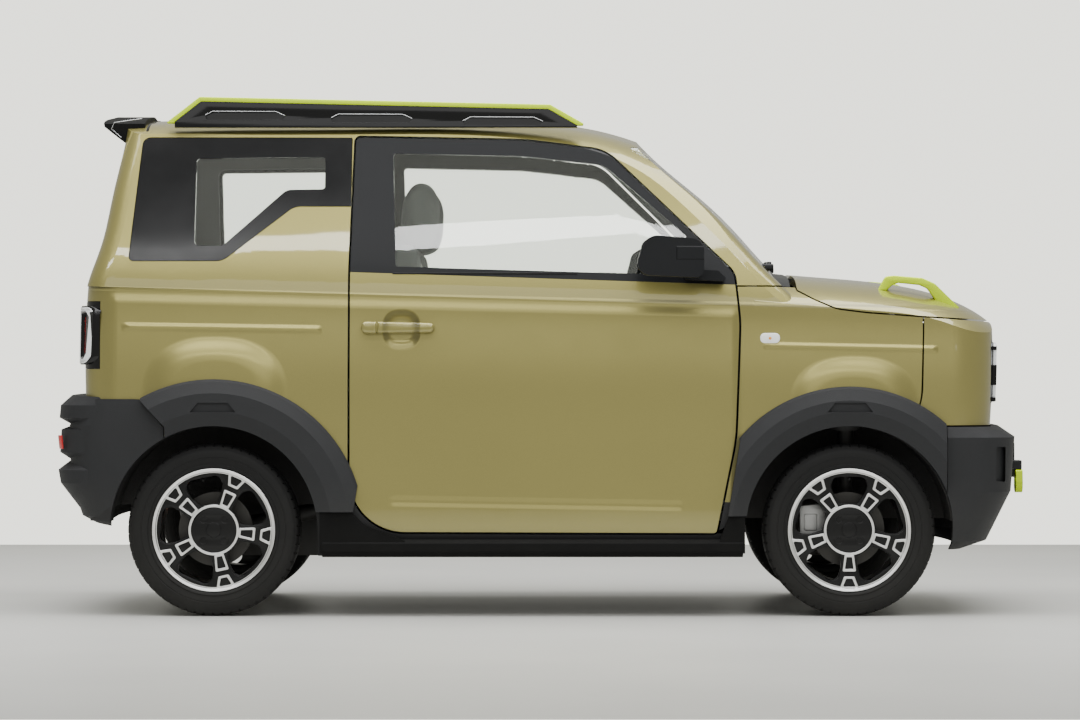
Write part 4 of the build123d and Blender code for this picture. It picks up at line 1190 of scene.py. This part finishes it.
def make_head_lamps(word, side):
    skin = surface("head_lamps")
    frame_loop = across(HEAD_LAMP, side)
    inner_loop = across(shrunk(HEAD_LAMP, 0.021), side)
    base = laid("lamp_base_" + word, [frame_loop, inner_loop], -0.030, 0.0030, 0.0015, skin, "front")
    piece(base, "gloss_black", "chassis", "gloss_black", once("head_lamps", side))
    rim_loop = across(shrunk(HEAD_LAMP, 0.003), side)
    ring = laid("lamp_ring_" + word, [rim_loop, inner_loop], 0.0025, HEAD_LAMP_RISE, 0.0025, skin, "front")
    piece(ring, "light_guide", "chassis", "lamp_lens")
    marks = []
    for low, high in ((0.844, 0.856), (0.732, 0.796), (0.680, 0.692)):
        for u0, u1 in ((0.3200, 0.3430), (0.5690, 0.5920)):
            bar = box_loop(side * u0, low, side * u1, high)
            marks.append(laid("lamp_mark_" + word, [bar], 0.0, HEAD_LAMP_RISE + 0.0008, 0.001, skin, "front"))
    piece(merged("lamp_marks_" + word, marks), "gloss_black", "chassis", "gloss_black")
    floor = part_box("head_lamps")[1].x - 0.050
    back = placed(plate("lamp_back_" + word, [frame_loop], 0, 0.004), end_view(floor, 1))
    piece(back, "satin_black", "chassis", "gloss_black")
    spots = [Matrix.Translation((floor + 0.004, side * u, v)) @ Matrix.Rotation(math.pi / 2, 4, "Y")
             for v in (0.722, 0.773, 0.824) for u in (0.405, 0.456, 0.507)]
    for label, profile, finish in (("cup", LAMP_CUP, "mirror_metal"), ("dome", LAMP_DOME, "light_guide")):
        shape = lathe("lamp_%ss_%s" % (label, word), profile, 32, False)
        piece(copies(shape, spots), finish, "chassis", "lamp_lens")
    cover = laid("lamp_cover_" + word, [inner_loop], -0.0040, -0.0015, 0.0008, skin, "front")
    piece(cover, "lamp_lens", "chassis", "lamp_lens")


def make_side_markers(word, side):
    skin = surface("front_wings")
    depth = touch(skin, (0.726, 3 * side, 0.915), (0, -side, 0))[0].y * side
    case = plate("side_marker_" + word, [box_loop(0.6945, 0.8645, 0.7575, 0.8975, 0.0145)],
                 depth - 0.014, depth + 0.0045, 0.0035)
    side_piece(side, case, "light_guide", "chassis", "lamp_lens")
    bulb = lathe("side_marker_bulb_" + word, [(0.0, 0.0056), (0.0035, 0.0054), (0.0048, 0.0045),
                                              (0.0048, 0.0), (0.0, 0.0)], 24, False)
    side_piece(side, moved(bulb, 0.726, 0.881, depth), "amber_lens", "chassis", "tail_lens")


def make_tail_lamps(word, side):
    skin = surface("tail_lamps")
    outer_loop = across(TAIL_RING, side)
    hollow_loop = across(shrunk(TAIL_RING, 0.024), side)
    wall = laid("tail_wall_" + word, [outer_loop, hollow_loop], -0.006, TAIL_LAMP_RISE, 0.004, skin, "rear")
    piece(wall, "gloss_black", "chassis", "tail_lens")
    ring_loop = across(shrunk(TAIL_RING, 0.005), side)
    inner_loop = across(shrunk(TAIL_RING, 0.018), side)
    ring = laid("tail_ring_" + word, [ring_loop, inner_loop], TAIL_LAMP_RISE - 0.001,
                TAIL_LAMP_RISE + 0.0028, 0.0012, skin, "rear")
    piece(ring, "light_guide", "chassis", "tail_lens")
    red = across(box_loop(0.606, 0.832, 0.690, 0.950, 0.006), side)
    lens = laid("tail_lens_" + word, [red], -0.004, 0.0045, 0.002, skin, "rear")
    piece(lens, "red_lens", "chassis", "tail_lens")
    ribs = []
    for v in (0.856, 0.891, 0.926):
        bar = box_loop(side * 0.600, v - 0.004, side * 0.696, v + 0.004)
        ribs.append(laid("tail_bar_" + word, [bar], 0.0, 0.0062, 0.001, skin, "rear"))
    piece(merged("tail_bars_" + word, ribs), "gloss_black", "chassis", "gloss_black")


def make_reflectors(word, side):
    """Red reflectors at the ends of the rear bumper's middle fold."""
    skin = surface("rear_bumper")
    point, normal = touch(skin, (-1.528, 3 * side, 0.551), (0, -side, 0))
    block = moved(soft_block("reflector_" + word, (0.022, 0.044, 0.006), 0.002), 0, 0, 0.0005)
    piece(placed(block, stand(point, normal)), "red_lens", "chassis", "tail_lens")


# ---- mirrors, handles, springs, wipers, plates ----

def make_mirrors(word, side):
    body = "door_" + word
    skin = surface("door_frame_" + word)
    back = [(side * 0.806, 1.096, 0.012), (side * 0.872, 1.096, 0.012), (side * 0.872, 1.186, 0.014),
            (side * 0.806, 1.190, 0.014)]
    rim = laid("mirror_rim_" + word, [back, shrunk(back, 0.004)], -0.004, 0.003, 0.001, skin, "rear")
    piece(rim, "satin_black", body, "gloss_black")
    pane = laid("mirror_pane_" + word, [shrunk(back, 0.004)], -0.003, 0.0015, 0.0005, skin, "rear")
    piece(pane, "mirror_metal", body, "window_glass")


HANDLE_MIDDLE = (-0.4525, 0.9140)
HANDLE_STAND = 0.036


def make_door_handles(word, side):
    """Pull bars that bridge the dished hollows in the doors."""
    body = "door_" + word
    x, z = HANDLE_MIDDLE
    wall = touch(surface(body), (x, 3 * side, z + 0.05), (0, -side, 0))[0].y * side
    bar = [(x - 0.116, z - 0.0185, 0.018), (x + 0.1155, z - 0.0155, 0.0150),
           (x + 0.1155, z + 0.0155, 0.0150), (x - 0.116, z + 0.0205, 0.018)]
    split = x - 0.066
    rear_part = [bar[0], (split, z - 0.0180, 0), (split, z + 0.0198, 0), bar[3]]
    front_part = [(split + 0.0012, z - 0.0180, 0), bar[1], bar[2], (split + 0.0012, z + 0.0198, 0)]
    shapes = [plate("handle_bar", [part], wall + HANDLE_STAND - 0.0220, wall + HANDLE_STAND, 0.0100)
              for part in (rear_part, front_part)]
    shapes.append(plate("handle_bar", [shrunk(bar, 0.004)], wall + HANDLE_STAND - 0.0185,
                        wall + HANDLE_STAND - 0.0060, 0.002))
    for foot in (x - 0.096, x + 0.100):
        block = box_loop(foot - 0.014, z - 0.013, foot + 0.014, z + 0.013, 0.006)
        shapes.append(plate("handle_foot", [block], wall - 0.006, wall + HANDLE_STAND - 0.012, 0.002))
    side_piece(side, merged("door_handle_" + word, shapes), "panel_paint", body, "body_paint")


def make_hood_handles(word, side):
    """Flat yellow-green grab bars on the hood."""
    skin = surface("hood")
    feet = [touch(skin, (x, side * 0.565, 3), (0, 0, -1))[0].z for x in (1.090, 1.338)]
    outer = [(1.078, feet[0] - 0.006, 0.002), (1.104, 1.0800, 0.016), (1.132, 1.0825, 0.010),
             (1.222, 1.0750, 0.030), (1.262, 1.0570, 0.030), (1.345, feet[1] - 0.006, 0.004)]
    inner = [(1.284, feet[1] - 0.006, 0.004), (1.238, 1.0410, 0.020), (1.214, 1.0520, 0.020),
             (1.146, 1.0590, 0.008), (1.128, 1.0530, 0.012), (1.106, feet[0] - 0.006, 0.002)]
    bar = plate("hood_handle_" + word, [outer + inner], 0.549, 0.580, 0.0035)
    side_piece(side, bar, "accent", "hood", "accent", once("hood_handles", side))


def coil(name, radius, wire, turns, low, high):
    """Coil spring about the w axis."""
    steps = 20 * turns
    path = [(radius * math.cos(math.tau * k / 20), radius * math.sin(math.tau * k / 20),
             low + (high - low) * k / steps) for k in range(steps + 1)]
    return tube(name, path, wire, sides=2)


def make_springs(word, side):
    """Rear coil springs over the axle, coils round the front struts, and the front brake calipers."""
    rear = coil("rear_spring_" + word, 0.047, 0.0062, 6, 0.282, 0.474)
    piece(moved(rear, -1.090, side * 0.330, 0), "spring", "chassis", "accent")
    front = coil("strut_spring_" + word, 0.040, 0.0055, 4, 0.602, 0.696)
    piece(moved(front, 0.978, side * 0.548, 0), "spring", "knuckle_" + word, "accent")
    outline = [(0.822, 0.238, 0.012), (0.884, 0.232, 0.012), (0.910, 0.262, 0.014), (0.910, 0.330, 0.014),
               (0.884, 0.356, 0.012), (0.822, 0.350, 0.012)]
    caliper = [plate("caliper", [outline], 0.636, 0.661, 0.005),
               plate("caliper_rib", [box_loop(0.838, 0.268, 0.880, 0.322, 0.006)], 0.655, 0.6635, 0.002)]
    side_piece(side, merged("brake_caliper_" + word, caliper), "cast_silver", "knuckle_" + word,
               "chassis_metal")


def make_tailgate_bar():
    """Black grip bar across the tailgate under its glass, and the plate lamps below it."""
    skin = surface("tailgate")
    loop = [(-0.300, 1.052, 0.010), (0.300, 1.052, 0.010), (0.285, 1.086, 0.012), (-0.285, 1.086, 0.012)]
    bar = laid("tailgate_bar", [loop], -0.004, 0.010, 0.003, skin, "rear")
    piece(bar, "gloss_black", "tailgate", "gloss_black")
    lamps = []
    for u in (-0.165, 0.165):
        lens = box_loop(u - 0.022, 1.056, u + 0.022, 1.068, 0.003)
        lamps.append(laid("plate_lamp", [lens], 0.006, 0.0115, 0.001, skin, "rear"))
    piece(merged("plate_lamps", lamps), "light_guide", "tailgate", "lamp_lens")


def make_window_seals(word, side):
    """Rubber lips along the foot of each side window."""
    skin = surface("door_frame_" + word)
    path = []
    for step in range(9):
        x = -0.470 + step * (0.585 / 8)
        point, _ = touch(skin, (x, 3 * side, 1.0865), (0, -side, 0))
        path.append((x, point.y + side * 0.0006, 1.0865))
    piece(tube("waist_seal_" + word, path, 0.0030), "tyre", "door_" + word, "trim")


def make_wipers():
    """Two arms parked along the foot of the windscreen, with blades and joint covers."""
    skin = surface("fixed_glass")
    for i, foot in enumerate((-0.440, 0.060)):
        tip = foot + 0.440
        arm = []
        for share in (0.0, 0.12, 0.35, 0.7, 1.0):
            y = foot + (tip - foot) * share
            z = 1.108 + 0.020 * share
            hit = touch(skin, (3, y, max(z, 1.118)), (-1, 0, 0))[0]
            arm.append((min(hit.x + 0.016 - 0.006 * share, 0.806), y, z + 0.006))
        bar = tube("wiper_arm_%d" % i, arm, 0.0048)
        blade = []
        for share in (0.0, 0.25, 0.5, 0.75, 1.0):
            y = foot + 0.06 + (tip + 0.10 - foot - 0.06) * share
            z = 1.122 + 0.010 * share
            hit = touch(skin, (3, y, z), (-1, 0, 0))[0]
            blade.append((hit.x + 0.007, y, z))
        edge = tube("wiper_blade_%d" % i, blade, 0.0050)
        cover = soft_block("wiper_joint_%d" % i, (0.040, 0.046, 0.022), 0.007)
        cover = moved(cover, arm[0][0] - 0.004, foot, 1.112)
        x, y, z = arm[3]
        link = moved(soft_block("wiper_link_%d" % i, (0.016, 0.060, 0.012), 0.004), x, y, z + 0.002)
        piece(merged("wiper_%d" % i, [bar, edge, cover, link]), "satin_black", "chassis", "trim")


def make_plates(bumper):
    """Blank number plates on their holders."""
    for word, skin, view, v0, v1, body in (("front", bumper, "front", 0.428, 0.542, "chassis"),
                                           ("rear", surface("tailgate"), "rear", 0.735, 0.855, "tailgate")):
        ahead = 1 if view == "front" else -1
        hits = [touch(skin, (3 * ahead, u, v), (-ahead, 0, 0))[0].x for u in (-0.2, 0, 0.2) for v in (v0, v1)]
        face = max(hits, key=lambda x: x * ahead)
        holder = plate("plate_holder_" + word, [box_loop(-0.232, v0, 0.232, v1, 0.008)], -0.012, 0.005)
        piece(placed(holder, end_view(face, ahead)), "satin_black", body, "trim")
        blank = plate("plate_" + word, [box_loop(-0.220, v0 + 0.006, 0.220, v1 - 0.006, 0.006)],
                      0.004, 0.0062, 0.0008)
        piece(placed(blank, end_view(face, ahead)), "blank_plate", body, "trim")


# ---- seats ----

CLOTH_PRESSURE = 4.0
CLOTH_STIFFNESS = 30
CLOTH_STEPS = 12


def swollen(mesh, voxel, reach):
    """Padded form: a fine even mesh blown up a little as cloth, no point moving further than reach."""
    body = bpy.data.objects.new(mesh.name, mesh)
    bpy.context.scene.collection.objects.link(body)
    remesh = body.modifiers.new("even", "REMESH")
    remesh.mode = "VOXEL"
    remesh.voxel_size = voxel
    even = evaluated(body)
    even.name = mesh.name
    body.modifiers.clear()
    body.data = even
    rest = [v.co.copy() for v in even.vertices]
    puff = body.modifiers.new("puff", "CLOTH")
    puff.settings.use_pressure = True
    puff.settings.uniform_pressure_force = CLOTH_PRESSURE
    puff.settings.effector_weights.gravity = 0
    puff.settings.tension_stiffness = CLOTH_STIFFNESS
    puff.settings.compression_stiffness = CLOTH_STIFFNESS
    puff.settings.quality = 4
    scene = bpy.context.scene
    for step in range(1, CLOTH_STEPS + 1):
        scene.frame_set(step)
    blown = evaluated(body)
    for vertex, start in zip(blown.vertices, rest):
        move = vertex.co - start
        if move.length > reach:
            vertex.co = start + move.normalized() * reach
    body.modifiers.clear()
    scene.frame_set(1)
    body.data = blown
    result = body.data
    bpy.data.objects.remove(body)
    made = bmesh.new()
    made.from_mesh(result)
    bmesh.ops.smooth_vert(made, verts=made.verts, factor=0.5, use_axis_x=True, use_axis_y=True,
                          use_axis_z=True)
    made.to_mesh(result)
    made.free()
    result.name = mesh.name
    return shade(result, 60)


def padded_piece(fill, *looks):
    """A cushion or pad; its fill, how full it is, is not used."""
    piece(*looks)


def pad(name, loop, low, high, voxel=0.009, reach=0.012, bevel=0.022):
    """Cushion drawn in side view (u forward, v up) between two widths, blown up."""
    return swollen(plate(name, [loop], low, high, bevel), voxel, reach)


SEAT_MIDDLE = 0.325
SEAT_HALF = 0.225
SEAT_FLOOR = 0.326


def seat_loops():
    """Side outlines of the front seat's base, its cushion, backrest and headrest."""
    cushion = [(-0.330, 0.440, 0.030), (0.105, 0.450, 0.050), (0.110, 0.545, 0.050), (-0.020, 0.560, 0.080),
               (-0.300, 0.525, 0.030)]
    back = [(-0.320, 0.500, 0.040), (-0.400, 0.820, 0.300), (-0.392, 1.176, 0.050), (-0.478, 1.168, 0.050),
            (-0.505, 0.800, 0.300), (-0.410, 0.470, 0.040)]
    head = [(-0.345, 1.185, 0.030), (-0.338, 1.372, 0.040), (-0.405, 1.392, 0.040), (-0.445, 1.330, 0.040),
            (-0.450, 1.190, 0.040), (-0.400, 1.165, 0.020)]
    return cushion, back, head


def make_front_seats(word, side):
    cushion, back, head = seat_loops()
    place = Matrix.Translation((0, side * SEAT_MIDDLE, 0)) @ side_view(RIGHT)
    centre_half = SEAT_HALF * 0.52
    parts = []
    for label, loop in (("cushion", cushion), ("back", back)):
        parts.append(pad("seat_%s_centre_%s" % (label, word), loop, -centre_half, centre_half))
    padded_piece(0.7, placed(merged("seat_centre_pads_" + word, parts), place), "seat_pale", "chassis",
                 "upholstery", once("seats", side))
    parts = []
    for label, loop, grow in (("cushion", cushion, 0.010), ("back", back, 0.012)):
        for hand in (-1, 1):
            low, high = sorted((hand * centre_half * 0.98, hand * SEAT_HALF))
            parts.append(pad("seat_%s_side_%s" % (label, word), shrunk(loop, -grow), low, high, reach=0.009))
    padded_piece(0.8, placed(merged("seat_side_pads_" + word, parts), place), "seat_dark", "chassis",
                 "upholstery")
    rest = pad("seat_headrest_" + word, head, -0.125, 0.125, reach=0.010, bevel=0.030)
    padded_piece(0.8, placed(rest, place), "seat_dark", "chassis", "upholstery")
    facing = [(u + 0.0075, v, r) for u, v, r in shrunk(head, 0.018)]
    face = pad("seat_headrest_face_" + word, facing, -0.078, 0.078, reach=0.006, bevel=0.020)
    padded_piece(0.6, placed(face, place), "seat_pale", "chassis", "upholstery")
    stems = [tube("stem", [(-0.418, 1.130, w), (-0.405, 1.200, w)], 0.006, False) for w in (-0.06, 0.06)]
    piece(placed(merged("headrest_stems_" + word, stems), place), "satin_black", "chassis", "trim")
    base = [(-0.350, 0.352, 0.020), (0.060, 0.352, 0.030), (0.100, 0.440, 0.040), (0.090, 0.462, 0.010),
            (-0.330, 0.462, 0.010), (-0.400, 0.440, 0.030)]
    shell = plate("seat_base_" + word, [base], -SEAT_HALF + 0.010, SEAT_HALF - 0.010, 0.010)
    rails = []
    for w in (-0.15, 0.15):
        rail = soft_block("rail", (0.440, 0.020, 0.034), 0.003)
        rail.transform(Matrix.Rotation(math.pi / 2, 4, "X"))
        rails.append(moved(rail, -0.150, SEAT_FLOOR + 0.016, w))
    piece(placed(merged("seat_frame_" + word, [shell] + rails), place), "trim", "chassis", "trim")
    buckle = moved(soft_block("buckle_" + word, (0.024, 0.058, 0.020), 0.004),
                   -0.300, 0.570, -side * (SEAT_HALF + 0.016))
    piece(placed(buckle, place), "gloss_black", "chassis", "trim")


def make_bench():
    half = 0.380
    cushion = [(-0.655, 0.508, 0.010), (-0.650, 0.600, 0.045), (-0.760, 0.612, 0.080), (-0.985, 0.585, 0.030),
               (-1.010, 0.508, 0.010)]
    back = [(-0.985, 0.560, 0.040), (-1.112, 1.110, 0.045), (-1.205, 1.118, 0.040), (-1.130, 0.560, 0.040)]
    place = side_view(RIGHT)
    parts = [pad("bench_pad", loop, low, high, 0.010, 0.012)
             for low, high in ((-half, -0.006), (0.006, half)) for loop in (cushion, back)]
    padded_piece(0.7, placed(merged("rear_bench_pads", parts), place), "seat_dark", "chassis", "upholstery")
    strips = [[(u + 0.006, v + 0.004, r) for u, v, r in shrunk(cushion, 0.010)],
              [(u + 0.010, v, r) for u, v, r in shrunk(back, 0.010)]]
    parts = [pad("bench_strip", strip, middle - 0.085, middle + 0.085, 0.010, 0.007)
             for middle in (-0.193, 0.193) for strip in strips]
    padded_piece(0.6, placed(merged("rear_bench_centres", parts), place), "seat_pale", "chassis",
                 "upholstery")


# ---- cabin fittings ----

WHEEL_CENTRE = (0.185, 0.330, 0.905)
WHEEL_TILT = 27
WHEEL_RADIUS = 0.178
GRIP_THICK = 0.0138


def make_steering_wheel():
    tilt = math.radians(WHEEL_TILT)
    axis = Vector((-math.cos(tilt), 0, math.sin(tilt)))
    up = Vector((math.sin(tilt), 0, math.cos(tilt)))
    place = basis((0, -1, 0), up, axis, WHEEL_CENTRE)
    section = [(WHEEL_RADIUS + GRIP_THICK * math.cos(math.tau * k / 14),
                GRIP_THICK * math.sin(math.tau * k / 14)) for k in range(14)]
    grip = lathe("steering_grip", section, 72, True, 60)

    def turned(name, bar, turns, low, high, bevel):
        """The same bar laid out at several angles about the wheel's axis."""
        return [placed(plate(name, [bar], low, high, bevel), Matrix.Rotation(math.radians(turn), 4, "Z"))
                for turn in turns]

    spoke = [(0.040, -0.022, 0.006), (0.168, -0.015, 0.004), (0.168, 0.015, 0.004), (0.040, 0.022, 0.006)]
    spokes = turned("steering_spoke", spoke, (0, 180, 270), -0.014, -0.002, 0.003)
    outline = [(-0.056, -0.044, 0.030), (0.056, -0.044, 0.030), (0.056, 0.044, 0.024), (-0.056, 0.044, 0.024)]
    cover = plate("steering_cover", [outline], -0.024, 0.004, 0.005)
    wheel = placed(merged("steering_wheel_rim", [grip] + spokes), place)
    piece(wheel, "trim", "steering_wheel", "trim", ["steering_wheel"])
    piece(placed(cover, place), "gloss_black", "steering_wheel", "trim")
    keys = [(0.076, -0.010, 0.004), (0.128, -0.008, 0.004), (0.128, 0.008, 0.004), (0.076, 0.010, 0.004)]
    inlays = turned("steering_keys", keys, (0, 180), -0.004, 0.000, 0.001)
    piece(placed(merged("steering_keys", inlays), place), "bright_line", "steering_wheel", "trim")


def make_dash_fittings():
    """Screens, air vents and pale band on the dashboard."""
    skin = surface("dashboard")
    band = box_loop(-0.640, 0.895, 0.640, 0.945, 0.010)
    band = laid("dash_band", [band], -0.002, 0.006, 0.002, skin, "rear")
    piece(band, "pale_trim", "chassis", "trim")
    vents = []
    for u in (-0.560, -0.120, 0.120, 0.560):
        frame_loop = box_loop(u - 0.050, 0.872, u + 0.050, 0.968, 0.012)
        vents.append(laid("vent_frame", [frame_loop, shrunk(frame_loop, 0.007)],
                          0.000, 0.012, 0.002, skin, "rear"))
        for v in (0.889, 0.904, 0.920, 0.936, 0.951):
            blade = box_loop(u - 0.044, v - 0.003, u + 0.044, v + 0.003)
            vents.append(laid("vent_blade", [blade], 0.002, 0.009, 0.0008, skin, "rear"))
    piece(merged("dash_vents", vents), "gloss_black", "chassis", "trim")
    low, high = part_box("dashboard")
    for name, x, u0, u1, v0, v1 in (("driver_screen", 0.312, 0.225, 0.435, 0.985, 1.068),
                                    ("centre_screen", low.x + 0.040, -0.125, 0.150, 0.960, 1.075)):
        loop = box_loop(u0, v0, u1, v1, 0.010)
        case = plate(name + "_case", [loop], -0.014, 0.000, 0.003)
        face = plate(name, [shrunk(loop, 0.004)], -0.001, 0.0012, 0.0004)
        piece(placed(case, end_view(x, -1)), "trim", "chassis", "trim")
        piece(placed(face, end_view(x, -1)), "screen", "chassis", "trim")
        foot = soft_block(name + "_foot", (0.060, 0.060, 0.040), 0.006)
        piece(moved(foot, x + 0.030, (u0 + u1) / 2, min(v0 + 0.02, high.z - 0.02)), "trim", "chassis", "trim")


ARMREST = [(-0.430, 0.700, 0.020), (0.120, 0.735, 0.020), (0.150, 0.775, 0.020), (-0.430, 0.762, 0.020)]
DOOR_POCKET = [(-0.400, 0.345, 0.030), (0.300, 0.345, 0.030), (0.330, 0.470, 0.030), (-0.400, 0.450, 0.030)]
DOOR_INSERT = [(-0.430, 0.785, 0.020), (0.160, 0.800, 0.020), (0.240, 0.960, 0.030), (-0.430, 0.980, 0.020)]


def make_door_cards(word, side):
    """Armrest, inner pull, pocket and padded insert inside each door."""
    body = "door_" + word
    skin = surface(body)
    wall = touch(skin, (-0.100, 0, 0.600), (0, side, 0))[0].y * side
    arm = plate("door_armrest_" + word, [ARMREST], wall - 0.048, wall + 0.004, 0.008)
    pull = tube("door_pull_" + word, [(-0.020, 0.860, wall - 0.002), (0.000, 0.862, wall - 0.026),
                                      (0.110, 0.868, wall - 0.026), (0.130, 0.868, wall - 0.002)], 0.006)
    bin_wall = plate("door_pocket_" + word, [DOOR_POCKET], wall - 0.030, wall + 0.004, 0.006)
    side_piece(side, merged("door_card_fittings_" + word, [arm, pull, bin_wall]), "trim", body, "trim")
    soft = plate("door_insert_" + word, [DOOR_INSERT], wall - 0.008, wall + 0.004, 0.003)
    side_piece(side, soft, "seat_pale", body, "upholstery")


# ---- finishes of the carried-over nodes ----

NODE_FINISH = {
    "body_paint": ["tailgate", "door_right", "door_left"],
    "shell_paint": ["body_shell", "front_wings"],
    "panel_paint": ["nose_panel", "hood"],
    "frame_black": ["door_frame_right", "door_frame_left"],
    "satin_black": ["cowl"],
    "window_black": ["quarter_panels"],
    "sill_black_painted_shade": ["sill_covers", "spoiler"],
    "gloss_black": ["lamp_panel", "charge_flap", "tail_lamps", "roof_rails"],
    "cladding": ["front_bumper", "rear_bumper", "wheel_flares"],
    "accent": ["tow_hooks", "hood_handles"],
    "window_glass": ["fixed_glass", "door_glass_right", "door_glass_left", "tailgate_glass"],
    "lamp_lens": ["head_lamps"],
    "underbody": ["floor_pan"],
    "pack_case": ["battery_pack", "motor_block"],
    "chassis_metal": ["rear_axle", "front_subframe", "knuckle_right", "knuckle_left"],
    "trim": ["dashboard", "steering_wheel", "seats"],
    "tyre": ["tyre_" + corner for corner in CORNERS],
    "wheel_black": ["rim_" + corner for corner in CORNERS],
}


def finish_nodes():
    for finish, names in NODE_FINISH.items():
        for name in names:
            for slot in nodes[name].material_slots:
                slot.material = FINISH[finish]


make_studio()
make_camera()
finish_nodes()
for corner in CORNERS:
    make_tyre(corner)
    make_rim(corner)
bumper_face = make_front_bumper()
for make in (make_rear_bumper, make_flares, make_rails, make_wing_lines):
    make()
for make in (make_head_lamps, make_side_markers, make_tail_lamps, make_reflectors, make_mirrors,
             make_door_handles, make_hood_handles, make_springs, make_window_seals, make_front_seats,
             make_door_cards):
    for word, side in SIDES.items():
        make(word, side)
make_plates(bumper_face)
for make in (make_tailgate_bar, make_wipers, make_bench, make_steering_wheel, make_dash_fittings):
    make()
